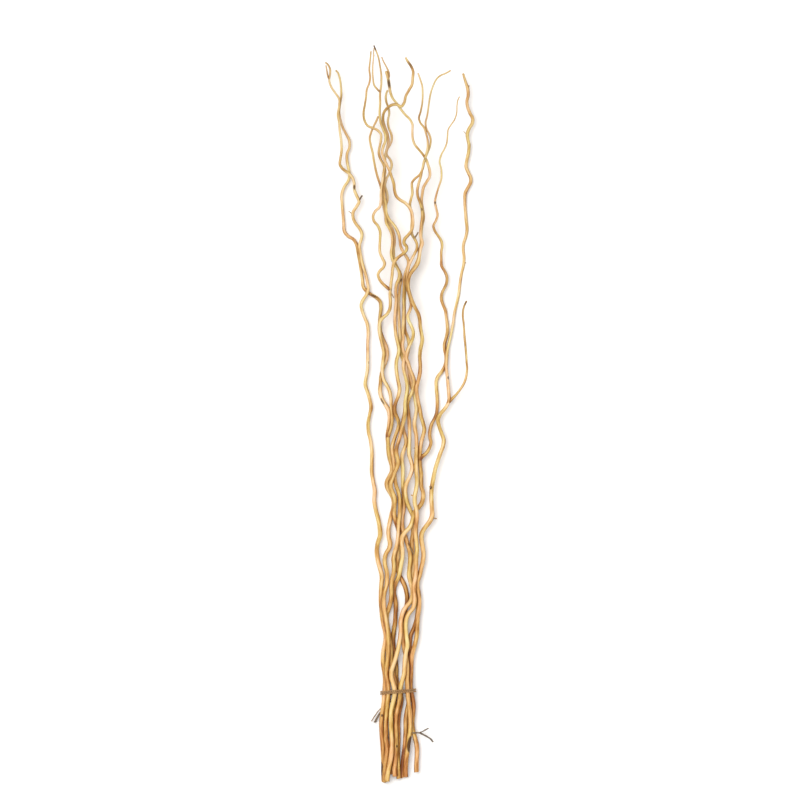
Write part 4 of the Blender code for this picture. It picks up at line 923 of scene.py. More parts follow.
class Tube:
    """A profile carried along a line: rings round the line's points, closed at both ends."""

    slant_reach = 3.0
    rim_share = 0.98

    def __init__(self, line: Array, sides: int, reference: Point3, start: EndShape, end: EndShape) -> None:
        """Sets up rings, angles and directions.

        Args:
            line: (n, 4) points (x, y, z, radius) in millimetres.
            sides: points round each ring.
            reference: direction that the line never runs along; angle 90 degrees faces it.
            start: shape of the first end.
            end: shape of the last end.
        """
        self.sides = sides
        self.line = line
        self.angle = np.arange(sides) * FULL_TURN / sides
        self.along = run_length(line[:, :3])
        self.tangent = unit(np.gradient(line[:, :3], self.along, axis=0))
        self.side = unit(np.cross(self.tangent, np.array(reference, float)))
        self.up = np.cross(self.side, self.tangent)
        self.start, self.end = start, end
        self.relief = np.ones((len(line), sides)) * line[:, 3:4]
        self.values: dict[str, Array] = {}

    def outward(self, ring: Array) -> Array:
        """Directions cos angle * side + sin angle * up of the given rings, as (rings, sides, 3)."""
        return (
            np.cos(self.angle)[None, :, None] * self.side[ring][:, None, :]
            + np.sin(self.angle)[None, :, None] * self.up[ring][:, None, :]
        )

    def surface(self) -> Array:
        """Points of the rings as they are now, as (rings, sides, 3)."""
        return self.line[:, None, :3] + self.relief[:, :, None] * self.outward(np.arange(len(self.line)))

    def set_value(self, name: str, value: Array) -> None:
        """Keeps a value for the finishes, given per ring and side."""
        self.values[name] = np.broadcast_to(value, self.relief.shape).copy()

    def skin(self, space_shift: float = 0.0, twist: float = 0.0) -> Skin:
        """Builds the closed surface.

        A point is the line's point plus its relief times (cos angle * side + sin angle * up), and on the
        end rings that relief is scaled by the ring's share and moved along the tangent by its shift. A
        slanted cut moves each point along the tangent by slant * relief * cos(angle - turn), which dies
        away over three radii.

        Args:
            space_shift: added to the third grain coordinate, in millimetres, so that no two tubes match.
            twist: turn of the grain round the line, in radians per millimetre.

        Returns:
            The closed skin.
        """
        n, m = self.relief.shape
        first, last = np.array(self.start.shares)[::-1], np.array(self.end.shares)
        ring = np.concatenate([np.zeros(len(first), int), np.arange(n), np.full(len(last), n - 1)])
        share = np.concatenate([first, np.ones(n), last])
        shift = np.concatenate([-np.array(self.start.shifts)[::-1], np.zeros(n), np.array(self.end.shifts)])
        axial = shift * self.line[ring, 3]
        reach = self.relief[ring] * share[:, None]
        slant = np.zeros((len(ring), m))
        for shape, gone in ((self.start, self.along[ring]), (self.end, self.along[-1] - self.along[ring])):
            fade = np.clip(1.0 - gone / (self.slant_reach * self.line[ring, 3]), 0.0, 1.0)
            slant += shape.slant * fade[:, None] * reach * np.cos(self.angle - shape.slant_turn)[None, :]
        tangent = self.tangent[ring][:, None, :]
        centre = self.line[ring, :3][:, None, :]
        slid = (axial[:, None] + slant)[:, :, None] * tangent
        points = centre + reach[:, :, None] * self.outward(ring) + slid
        pole_shift = [-self.start.shifts[-1] * self.line[0, 3], self.end.shifts[-1] * self.line[-1, 3]]
        poles = self.line[[0, -1], :3] + np.array(pole_shift)[:, None] * self.tangent[[0, -1]]
        rows = len(ring)
        grid = np.arange(rows * m).reshape(rows, m)
        nxt = np.roll(grid, -1, axis=1)
        quads = np.stack([grid[:-1], grid[1:], nxt[1:], nxt[:-1]], axis=-1).reshape(-1, 4)
        low, high = rows * m, rows * m + 1
        triangles = np.concatenate([
            np.column_stack([np.full(m, low), grid[0], nxt[0]]),
            np.column_stack([np.full(m, high), nxt[-1], grid[-1]]),
        ])
        along = self.along[ring] + axial
        u = np.arange(m + 1) / m
        corner = np.empty((rows - 1, m, 4, 2))
        corner[..., 0, 0] = corner[..., 1, 0] = u[:-1]
        corner[..., 2, 0] = corner[..., 3, 0] = u[1:]
        corner[..., 0, 1] = corner[..., 3, 1] = along[:-1, None] * MM
        corner[..., 1, 1] = corner[..., 2, 1] = along[1:, None] * MM
        tip = np.empty((2, m, 3, 2))
        tip[0, :, 0, 0], tip[0, :, 1, 0], tip[0, :, 2, 0] = u[:-1], u[:-1], u[1:]
        tip[1, :, 0, 0], tip[1, :, 1, 0], tip[1, :, 2, 0] = u[:-1], u[1:], u[:-1]
        tip[0, :, :, 1], tip[1, :, :, 1] = along[0] * MM, along[-1] * MM
        turned = self.angle[None, :] + twist * along[:, None]
        lengthwise = along[:, None] + slant
        grain = np.stack([reach * np.cos(turned), reach * np.sin(turned), lengthwise], axis=-1)
        grain = grain.reshape(-1, 3)
        grain = np.concatenate([grain, [[0, 0, along[0]], [0, 0, along[-1]]]])
        grain[:, 2] += space_shift
        values = {}
        for name, value in self.values.items():
            spread = value[ring].reshape(-1)
            values[name] = np.concatenate([spread, [value[0].mean(), value[-1].mean()]])
        core = np.broadcast_to(np.where(share < self.rim_share, share, 1.0)[:, None], (rows, m)).reshape(-1)
        values["core"] = np.concatenate([core, [0.0, 0.0]])
        points = np.concatenate([points.reshape(-1, 3), poles])
        return Skin(points, quads, triangles, corner.reshape(-1, 2), tip.reshape(-1, 2), grain, values)


def mesh_object(name: str, skins: list[Skin]) -> bpy.types.Object:
    """Joins skins into one object at the origin, in metres of the frame, no lower than the surface.

    Args:
        name: name of the object.
        skins: the closed tubes.

    Returns:
        The linked object, smooth shaded, with a UV map and the finishes' attributes.
    """
    starts = np.cumsum([0] + [len(skin.points) for skin in skins])
    points = np.concatenate([skin.points for skin in skins])
    points[:, :2] -= LAYOUT_MIDDLE
    points[:, 2] = np.maximum(points[:, 2], 0.0)
    quads = np.concatenate([skin.quads + at for skin, at in zip(skins, starts)])
    triangles = np.concatenate([skin.triangles + at for skin, at in zip(skins, starts)])
    corners = np.concatenate([quads.ravel(), triangles.ravel()])
    first = np.concatenate([np.arange(len(quads)) * 4, 4 * len(quads) + np.arange(len(triangles)) * 3])
    mesh = bpy.data.meshes.new(name)
    mesh.vertices.add(len(points))
    mesh.vertices.foreach_set("co", (points * MM).astype(np.float32).ravel())
    mesh.loops.add(len(corners))
    mesh.loops.foreach_set("vertex_index", corners.astype(np.int32))
    mesh.polygons.add(len(first))
    mesh.polygons.foreach_set("loop_start", first.astype(np.int32))
    mesh.update(calc_edges=True)
    uv = np.concatenate([skin.quad_uv for skin in skins] + [skin.triangle_uv for skin in skins])
    mesh.uv_layers.new(name="around_along").data.foreach_set("uv", uv.astype(np.float32).ravel())
    for key in skins[0].values:
        value = np.concatenate([skin.values[key] for skin in skins])
        mesh.attributes.new(key, "FLOAT", "POINT").data.foreach_set("value", value.astype(np.float32))
    grain = np.concatenate([skin.grain for skin in skins]) * MM
    grain_data = mesh.attributes.new("grain", "FLOAT_VECTOR", "POINT").data
    grain_data.foreach_set("vector", grain.astype(np.float32).ravel())
    mesh.shade_smooth()
    mesh.validate()
    made = bpy.data.objects.new(name, mesh)
    bpy.context.scene.collection.objects.link(made)
    return made


Socket = bpy.types.NodeSocket
Source = Socket | float | tuple


@dataclass(frozen=True)
class Pattern:
    """A noise pattern: features per metre across the grain, share of them along it, octaves, roughness."""

    scale: float
    along: float
    detail: float
    rough: float = 0.5


class Shader:
    """Builds the nodes of one material, ending in a Principled shader."""

    def __init__(self, name: str) -> None:
        """Makes a material with its shader and output."""
        self.material = bpy.data.materials.new(name)
        self.material.use_nodes = True
        self.tree = self.material.node_tree
        self.principled = self.tree.nodes["Principled BSDF"]

    def put(self, kind: str, **settings: object) -> bpy.types.Node:
        """Adds a node and sets its properties."""
        node = self.tree.nodes.new(kind)
        for key, value in settings.items():
            setattr(node, key, value)
        return node

    def feed(self, socket: Socket, source: Source) -> None:
        """Links a socket to the source, or sets its value."""
        if isinstance(source, Socket):
            self.tree.links.new(source, socket)
        else:
            socket.default_value = source

    def fixed(self, **values: object) -> None:
        """Sets values on the shader's own sockets; an underscore stands for a space."""
        for key, value in values.items():
            self.principled.inputs[key.replace("_", " ")].default_value = value

    def drive(self, name: str, source: Socket) -> None:
        """Links one of the shader's sockets to a source."""
        self.tree.links.new(source, self.principled.inputs[name])

    def attribute(self, name: str, vector: bool = False) -> Socket:
        """Reads an attribute of the mesh."""
        node = self.put("ShaderNodeAttribute", attribute_name=name)
        return node.outputs["Vector" if vector else "Fac"]

    def noise(self, place: Socket, pattern: Pattern) -> Socket:
        """Adds a noise pattern, drawn out along the third axis of the place."""
        stretch = self.put("ShaderNodeMapping")
        self.feed(stretch.inputs["Vector"], place)
        stretch.inputs["Scale"].default_value = (1.0, 1.0, pattern.along)
        node = self.put("ShaderNodeTexNoise")
        self.feed(node.inputs["Vector"], stretch.outputs["Vector"])
        node.inputs["Scale"].default_value = pattern.scale
        node.inputs["Detail"].default_value = pattern.detail
        node.inputs["Roughness"].default_value = pattern.rough
        return node.outputs["Fac"]

    def math(self, operation: str, first: Source, second: Source = 0.0, third: Source = 0.0) -> Socket:
        """Adds a math node."""
        node = self.put("ShaderNodeMath", operation=operation)
        for socket, source in zip(node.inputs, (first, second, third)):
            self.feed(socket, source)
        return node.outputs[0]

    def swing(self, pattern: Socket, weight: float, level: Source) -> Socket:
        """Adds weight * (pattern - 0.5) to a level."""
        return self.math("MULTIPLY_ADD", self.math("SUBTRACT", pattern, 0.5), weight, level)

    def spread(self, value: Source, low: float, high: float, to_low: float, to_high: float) -> Socket:
        """Maps a value smoothly from one range to another."""
        node = self.put("ShaderNodeMapRange", interpolation_type="SMOOTHSTEP")
        ends = (("From Min", low), ("From Max", high), ("To Min", to_low), ("To Max", to_high))
        for key, source in (("Value", value), *ends):
            self.feed(node.inputs[key], source)
        return node.outputs["Result"]

    def ramp(self, value: Socket, stops: tuple[tuple[float, Colour], ...]) -> Socket:
        """Runs a value through named colours."""
        node = self.put("ShaderNodeValToRGB")
        band = node.color_ramp
        while len(band.elements) < len(stops):
            band.elements.new(0.5)
        for element, (place, colour) in zip(band.elements, stops):
            element.position = place
            element.color = (*colour, 1.0)
        self.feed(node.inputs["Fac"], value)
        return node.outputs["Color"]

    def blend(self, share: Source, first: Source, second: Source, way: str = "MIX") -> Socket:
        """Mixes two colours."""
        node = self.put("ShaderNodeMix", data_type="RGBA", blend_type=way)
        self.feed(node.inputs[0], share)
        for socket, source in ((node.inputs[6], first), (node.inputs[7], second)):
            self.feed(socket, (*source, 1.0) if isinstance(source, tuple) else source)
        return node.outputs[2]

    def bump(self, height: Socket, strength: float, distance: float) -> None:
        """Lets a height pattern, distance metres deep, bend the surface's light."""
        node = self.put("ShaderNodeBump")
        node.inputs["Strength"].default_value = strength
        node.inputs["Distance"].default_value = distance
        self.feed(node.inputs["Height"], height)
        self.tree.links.new(node.outputs["Normal"], self.principled.inputs["Normal"])


@dataclass(frozen=True)
class PeeledWood:
    """Finish of peeled willow: streaked honey wood, browner in patches, with scars, bark and cut ends, and
    the painted shade that the stems carry.
    """

    name: str = "peeled_willow_wood"
    lift: float = 0.0
    umber: Colour = (0.19, 0.062, 0.007)
    amber: Colour = (0.41, 0.192, 0.040)
    honey: Colour = (0.605, 0.392, 0.130)
    cream: Colour = (0.74, 0.56, 0.268)
    pale: Colour = (0.82, 0.69, 0.45)
    aged: Colour = (0.46, 0.33, 0.16)
    peach: Colour = (1.0, 0.875, 0.96)
    straw: Colour = (0.95, 1.0, 0.84)
    butt_tint: Colour = (0.98, 0.84, 0.70)
    low_tint: Colour = (1.0, 0.89, 0.76)
    high_tint: Colour = (1.0, 1.0, 1.0)
    scar: Colour = (0.060, 0.022, 0.009)
    bark_dark: Colour = (0.055, 0.038, 0.027)
    bark_light: Colour = (0.25, 0.18, 0.12)
    heart: Colour = (0.36, 0.19, 0.08)
    end_grain: Colour = (0.62, 0.42, 0.22)
    streaks: Pattern = Pattern(1500.0, 0.03, 5.0, 0.62)
    fibres: Pattern = Pattern(4200.0, 0.045, 3.0)
    patches: Pattern = Pattern(150.0, 0.2, 3.0, 0.55)
    drifts: Pattern = Pattern(26.0, 0.35, 2.0)
    hues: Pattern = Pattern(14.0, 0.6, 1.0)
    cracks: Pattern = Pattern(900.0, 0.35, 4.0, 0.7)
    middle: float = 0.5
    tone_weight: float = 0.30
    patch_weight: float = 1.1
    streak_weight: float = 0.95
    drift_weight: float = 0.8
    age_weight: float = 0.55
    ragged_weight: float = 0.6
    growth_rings: float = 26.0
    gloss: float = 0.36
    gloss_weight: float = 0.22
    dull_weight: float = 0.3
    streak_height: float = 0.7
    fibre_height: float = 0.3
    bark_height: float = 2.5
    relief_strength: float = 0.55
    relief_depth: float = 0.00025

    def build(self) -> bpy.types.Material:
        """Builds the material.

        Level = middle + weights * (paleness with painted shade, patches, streaks, drifts), and the level
        picks the colour. Hue, height up the stem, age, scars, bark and cut ends change it in turn.
        """
        s = Shader(self.name)
        grain = s.attribute("grain", vector=True)
        # The paleness attribute read here carries painted shade on the sides, in dimples and between stems,
        # besides the wood's own colour.
        tone_and_shade, scar, bark = s.attribute("tone_and_shade"), s.attribute("scar"), s.attribute("bark")
        core, age = s.attribute("core"), s.attribute("age")
        streak, fibre = s.noise(grain, self.streaks), s.noise(grain, self.fibres)
        patch, drift = s.noise(grain, self.patches), s.noise(grain, self.drifts)
        level = s.math("MULTIPLY_ADD", tone_and_shade, self.tone_weight, self.middle + self.lift)
        level = s.swing(patch, self.patch_weight, level)
        level = s.swing(streak, self.streak_weight, level)
        level = s.swing(drift, self.drift_weight, level)
        colour = s.ramp(level, (
            (0.10, self.umber), (0.32, self.amber), (0.50, self.honey), (0.68, self.cream),
            (0.90, self.pale),
        ))
        hue = s.ramp(s.noise(grain, self.hues), ((0.40, self.peach), (0.60, self.straw)))
        colour = s.blend(1.0, colour, hue, "MULTIPLY")
        tints = ((0.0, self.butt_tint), (0.22, self.low_tint), (0.6, self.high_tint))
        colour = s.blend(1.0, colour, s.ramp(s.attribute("rise"), tints), "MULTIPLY")
        colour = s.blend(s.math("MULTIPLY", age, self.age_weight), colour, self.aged)
        crack = s.noise(grain, self.cracks)
        scarred = s.spread(s.swing(crack, self.ragged_weight, scar), 0.28, 0.82, 0.0, 0.94)
        colour = s.blend(scarred, colour, self.scar)
        bark_colour = s.ramp(crack, ((0.36, self.bark_dark), (0.66, self.bark_light)))
        worn = s.spread(patch, 0.25, 0.45, 0.75, 1.0)
        colour = s.blend(s.math("MULTIPLY", bark, worn), colour, bark_colour)
        rings = s.math("MULTIPLY", s.math("MULTIPLY_ADD", patch, 0.25, core), self.growth_rings)
        rings = s.math("SINE", rings)
        end_colour = s.blend(s.spread(rings, -1.0, 1.0, 0.25, 0.75), self.heart, self.end_grain)
        end_colour = s.blend(s.spread(core, 0.10, 0.20, 1.0, 0.0), end_colour, self.umber)
        colour = s.blend(s.spread(core, 0.90, 0.97, 1.0, 0.0), colour, end_colour)
        s.drive("Base Color", colour)
        rough = s.math("MULTIPLY_ADD", patch, self.gloss_weight, self.gloss)
        dull = s.math("MULTIPLY", s.math("MAXIMUM", bark, scarred), self.dull_weight)
        s.drive("Roughness", s.math("ADD", rough, dull))
        height = s.math("MULTIPLY", fibre, self.fibre_height)
        height = s.math("MULTIPLY_ADD", streak, self.streak_height, height)
        height = s.math("MULTIPLY_ADD", crack, s.math("MULTIPLY", bark, self.bark_height), height)
        s.bump(height, self.relief_strength, self.relief_depth)
        s.fixed(Specular_IOR_Level=0.3, Metallic=0.0)
        return s.material


@dataclass(frozen=True)
class Twine:
    """Finish of brown twisted twine: painted shade in the grooves, pale fibres on the plies."""

    name: str = "brown_twine"
    deep: Colour = (0.14, 0.055, 0.012)
    brown: Colour = (0.31, 0.158, 0.056)
    straw: Colour = (0.52, 0.32, 0.14)
    fibres: Pattern = Pattern(3200.0, 0.08, 4.0, 0.6)
    blotches: Pattern = Pattern(260.0, 1.0, 2.0)
    fibre_weight: float = 1.1
    blotch_weight: float = 0.5
    relief_depth: float = 0.0003

    def build(self) -> bpy.types.Material:
        """Builds the material. Fibres run along the plies, and the grooves between the plies are
        painted darker, as shade.
        """
        s = Shader(self.name)
        grain = s.attribute("grain", vector=True)
        fibre = s.noise(grain, self.fibres)
        # Painted shade: the lower the ply surface lies, the darker the twine.
        level = s.swing(fibre, self.fibre_weight, s.spread(s.attribute("proud"), 0.3, 1.0, 0.12, 0.62))
        level = s.swing(s.noise(grain, self.blotches), self.blotch_weight, level)
        s.drive("Base Color", s.ramp(level, ((0.08, self.deep), (0.45, self.brown), (0.85, self.straw))))
        s.bump(fibre, 0.8, self.relief_depth)
        s.fixed(Roughness=0.88, Specular_IOR_Level=0.2, Sheen_Weight=0.25, Sheen_Roughness=0.5)
        return s.material


@dataclass(frozen=True)
class PaleFloor:
    """Finish of the plain pale floor."""

    name: str = "pale_floor"
    white: Colour = (0.93, 0.925, 0.915)
    unevenness: Pattern = Pattern(6.0, 1.0, 2.0)

    def build(self) -> bpy.types.Material:
        """Builds a matt off-white with a trace of unevenness in its gloss."""
        s = Shader(self.name)
        place = s.put("ShaderNodeTexCoord").outputs["Object"]
        s.drive("Roughness", s.spread(s.noise(place, self.unevenness), 0.3, 0.7, 0.78, 0.9))
        s.fixed(Base_Color=(*self.white, 1.0), Specular_IOR_Level=0.15)
        return s.material


@dataclass(frozen=True)
class BudScars:
    """Sizes of the bud scars: their spacing in millimetres, and the rest as shares of the stem's radius."""

    spacing: float = 58.0
    turn: float = math.radians(137.5)
    jitter: float = 0.35
    turn_jitter: float = 0.3
    heights: Point2 = (0.06, 0.16)
    sizes: Point2 = (0.30, 0.55)
    darkness: Point2 = (0.3, 0.8)
    length_share: float = 1.3
    dimple: float = 0.9
    dimple_size: float = 0.2
    dark_size: float = 0.35


@dataclass(frozen=True)
class WoodRelief:
    """Relief of peeled wood, as shares of the radius, and the runs in millimetres over which it changes."""

    body: float = 0.985
    oval: float = 0.03
    oval_run: float = 130.0
    ridge: float = 0.020
    ridges: int = 5
    ridge_run: float = 55.0
    ridge_swell_run: float = 47.0
    fine_ridge: float = 0.012
    fine_ridges: int = 9
    fine_ridge_run: float = 38.0
    lump: float = 0.026
    lump_run: float = 6.1
    lump_swell_run: float = 21.0
    swell: float = 0.022
    swell_run: float = 13.0
    collar: float = 0.16
    collar_run: float = 26.0
    butt_flare: float = 0.05
    butt_run: float = 18.0
    grain_run: float = 110.0


@dataclass(frozen=True)
class WoodToneAndShade:
    """How pale or brown the wood is where it faces up, and the painted shade where it turns away from above,
    lies close to other stems or dips in a dimple.
    """

    # top is the level where the wood faces up; flank, crevice and dimple paint shade into the colour on the
    # sides and underside, near other stems and in the bud scars' dimples.
    top: float = 0.27
    flank_shade: float = 0.85
    crevice_shade: float = 1.6
    dimple: float = 1.6
    turning: float = 0.10
    turning_run: float = 90.0
    waving: float = 0.08
    waving_run: float = 33.0
    aging_start: float = 1000.0
    aging_run: float = 780.0
    aging_radius: float = 4.5
    aging_slack: float = 1.25


BUDS = BudScars()
RELIEF = WoodRelief()
TONE_AND_SHADE = WoodToneAndShade()


@dataclass
class WillowStem:
    """One stem with its branches and twigs, grown as one piece."""

    name: str
    number: int
    bundle: Bundle
    slot: Slot = Slot.PEELED
    sides: int = 26
    branch_sides: int = 20
    twig_sides: int = 14
    step: float = 2.6
    twig_step: float = 1.2
    twig_tone: float = -0.2
    twig_age: float = 0.5
    bare_foot: float = 2.5
    bark_fade: float = 4.0
    knuckle: float = 0.16
    knuckle_spacing: float = 13.0
    knuckle_width: float = 1.7
    bark_ridges: Point2 = (0.05, 0.04)

    def _scars(self, tube: Tube, line: Line, rng: np.random.Generator) -> tuple[Array, Array]:
        """Raises bud scars and marks.

        A bud scar is a bell h * (exp(-q) - dimple * exp(-q / dimple size)) with q the squared distance
        over its size, which gives a low ring with a dimple. A mark is a flat-topped patch
        dark * exp(-q * q).

        Args:
            tube: the tube whose surface is marked.
            line: the line that it follows.
            rng: seeded draws for the places of the bud scars.

        Returns:
            Height in millimetres and darkness, both per ring and side.
        """
        along, angle, radius = tube.along, tube.angle, tube.line[:, 3]
        count = max(2, int(along[-1] / BUDS.spacing))
        place = np.arange(count) + 0.5 + rng.uniform(-BUDS.jitter, BUDS.jitter, count)
        place = along[-1] * place / count
        turn = rng.uniform(0, ANY_PHASE) + BUDS.turn * np.arange(count)
        turn = turn + rng.uniform(-BUDS.turn_jitter, BUDS.turn_jitter, count)
        local = np.interp(place, along, radius)
        high = local * rng.uniform(*BUDS.heights, count)
        size = local * rng.uniform(*BUDS.sizes, count)
        dark = rng.uniform(*BUDS.darkness, count)
        off_along = (along[:, None] - place[None, :]) / (BUDS.length_share * size)[None, :]
        off_round = np.angle(np.exp(1j * (angle[:, None] - turn[None, :])))
        off_round = off_round[None, :, :] * radius[:, None, None] / size[None, None, :]
        q = off_along[:, None, :] ** 2 + off_round**2
        lift = (high * (np.exp(-q) - BUDS.dimple * np.exp(-q / BUDS.dimple_size))).sum(axis=2)
        shade = (dark * np.exp(-q / BUDS.dark_size)).max(axis=2)
        for mark in MARKS.get(line.name, ()):
            nearest = int(np.argmin((tube.line[:, 0] - mark.x) ** 2 + (tube.line[:, 1] - mark.y) ** 2))
            far_along = (along - along[nearest])[:, None] / mark.length
            far_round = np.angle(np.exp(1j * (angle - math.radians(mark.facing))))[None, :]
            q = far_along**2 + (far_round * radius[:, None] / mark.width) ** 2
            lift += mark.lift * np.exp(-q)
            shade = np.maximum(shade, mark.dark * np.exp(-q * q))
        return lift, shade

    def _wood(self, line: Line, order: int) -> Skin:
        """Carries the knobbly profile of peeled wood along a line.

        Relief = radius * (body + oval + ridges that wind slowly round + swellings + flare) + scars.

        Args:
            line: the stem's or a branch's line.
            order: 0 for the stem itself, then the branches in turn.

        Returns:
            The closed skin.
        """
        rng = np.random.default_rng(100 * self.number + order)
        grown = line.course.parent is not None
        cut = EndShape(SAWN_END.shares, SAWN_END.shifts, rng.uniform(0.1, 0.42), rng.uniform(0, ANY_PHASE))
        sides, start = (self.branch_sides, WORN_END) if grown else (self.sides, cut)
        tube = Tube(line.fine(self.step), sides, (0, 0, 1), start, WORN_END)
        s, a, r = tube.along[:, None], tube.angle[None, :], RELIEF
        p = rng.uniform(0, ANY_PHASE, 8)
        oval = r.oval * np.cos(2 * (a - p[0]) + s / r.oval_run)
        ridges = r.ridge * np.cos(r.ridges * a + s / r.ridge_run + p[1])
        ridges = ridges * (0.6 + 0.4 * np.sin(s / r.ridge_swell_run + p[2]))
        ridges = ridges + r.fine_ridge * np.cos(r.fine_ridges * a - s / r.fine_ridge_run + p[3])
        swell = r.lump * np.sin(s / r.lump_run + p[4]) * np.sin(s / r.lump_swell_run + p[5])
        swell = swell + r.swell * np.sin(s / r.swell_run + p[6])
        collar, butt = r.collar * np.exp(-((s / r.collar_run) ** 2)), r.butt_flare * np.exp(-s / r.butt_run)
        flare = collar if grown else butt
        lift, shade = self._scars(tube, line, rng)
        tube.relief = tube.line[:, 3:4] * (r.body + oval + ridges + swell + flare) + lift
        y = tube.line[:, 1:2]
        tone_and_shade = np.interp(y, *zip(*TONES_AND_SHADE[line.name])) + TONE_AND_SHADE.turning * np.cos(a - p[7] - s / TONE_AND_SHADE.turning_run)
        tone_and_shade = tone_and_shade + TONE_AND_SHADE.waving * np.sin(s / TONE_AND_SHADE.waving_run + p[0]) + TONE_AND_SHADE.top
        # Painted shade: darker on the sides and underside, where the wood turns away from above, and in the
        # bud scars' dimples.
        tone_and_shade = tone_and_shade - TONE_AND_SHADE.flank_shade * np.clip(1 - np.sin(a), 0, 1) - TONE_AND_SHADE.dimple * np.clip(-lift, 0, 1)
        # Painted shade where the wood of other stems lies close.
        tube.set_value("tone_and_shade", tone_and_shade - TONE_AND_SHADE.crevice_shade * self.bundle.nearness(tube.surface(), line))
        tube.set_value("rise", y / LAYOUT_LENGTH)
        tube.set_value("scar", np.clip(shade, 0, 1))
        tube.set_value("bark", 0.0)
        thin = np.clip(TONE_AND_SHADE.aging_slack - tube.line[:, 3:4] / TONE_AND_SHADE.aging_radius, 0, 1)
        tube.set_value("age", np.clip((y - TONE_AND_SHADE.aging_start) / TONE_AND_SHADE.aging_run, 0, 1) * thin)
        return tube.skin(space_shift=997.0 * self.number + 331.0 * order, twist=1 / r.grain_run)

    def _twig(self, base: float, twig: Twig, bark: float, bare: float, seed: int) -> Skin:
        """Carries a rough bark profile along a short twig.

        Relief = radius * (1 + knuckles at intervals + rough ridges); the bark thins out near the foot.

        Args:
            base: height of the stem's line where the twig starts.
            twig: the twig's sizes and points.
            bark: how much bark it wears.
            bare: length of its foot without bark, in millimetres.
            seed: seed of its draws.

        Returns:
            The closed skin.
        """
        rng = np.random.default_rng(seed)
        points = np.array(twig.points, float)
        points[:, 2] += base
        radii = np.linspace(twig.foot, twig.tip, len(points))
        fine = smooth_line(np.column_stack([points, radii]), self.twig_step)
        cut = EndShape(SAWN_END.shares, SAWN_END.shifts, rng.uniform(0.2, 0.7), rng.uniform(0, ANY_PHASE))
        tube = Tube(fine, self.twig_sides, (0, 0, 1), WORN_END, cut)
        s, a = tube.along[:, None], tube.angle[None, :]
        p = rng.uniform(0, ANY_PHASE, 4)
        from_knuckle = (s + p[0]) % self.knuckle_spacing - 0.5 * self.knuckle_spacing
        knuckles = self.knuckle * np.exp(-((from_knuckle / self.knuckle_width) ** 2))
        coarse, fine_bark = self.bark_ridges
        rough = coarse * np.cos(4 * a + s / 5 + p[1]) + fine_bark * np.sin(s / 1.9 + 3 * a + p[2])
        tube.relief = tube.line[:, 3:4] * (0.97 + knuckles + rough)
        tube.set_value("tone_and_shade", self.twig_tone)
        tube.set_value("rise", tube.line[:, 1:2] / LAYOUT_LENGTH)
        tube.set_value("scar", 0.0)
        tube.set_value("bark", bark * np.clip((s - bare) / self.bark_fade, 0, 1))
        tube.set_value("age", self.twig_age)
        return tube.skin(space_shift=61.0 * seed)

    def build(self, finish: bpy.types.Material) -> bpy.types.Object:
        """Builds the stem, dresses it and puts it in its node's place.

        Args:
            finish: the material that the stem wears.

        Returns:
            The finished piece.
        """
        skins = []
        for order, line in enumerate(self.bundle.grown_on(self.name)):
            skins.append(self._wood(line, order))
            base = 0.0
            barks = TWIG_BARK.get(line.name, ())
            for place, (twig, bark) in enumerate(zip(TWIGS.get(line.name, ()), barks)):
                rooted = place == 0 or twig.points[0][2] == 0
                if rooted:
                    base = line.z[line.at(*twig.points[0][:2])]
                seed = 1000 * self.number + 10 * order + place
                bare = self.bare_foot if rooted else -self.bark_fade
                skins.append(self._twig(base, twig, bark, bare, seed))
        piece = mesh_object(f"willow_{self.name}", skins)
        piece.data.materials.append(finish)
        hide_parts(self.name)
        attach(piece, "root")
        return piece


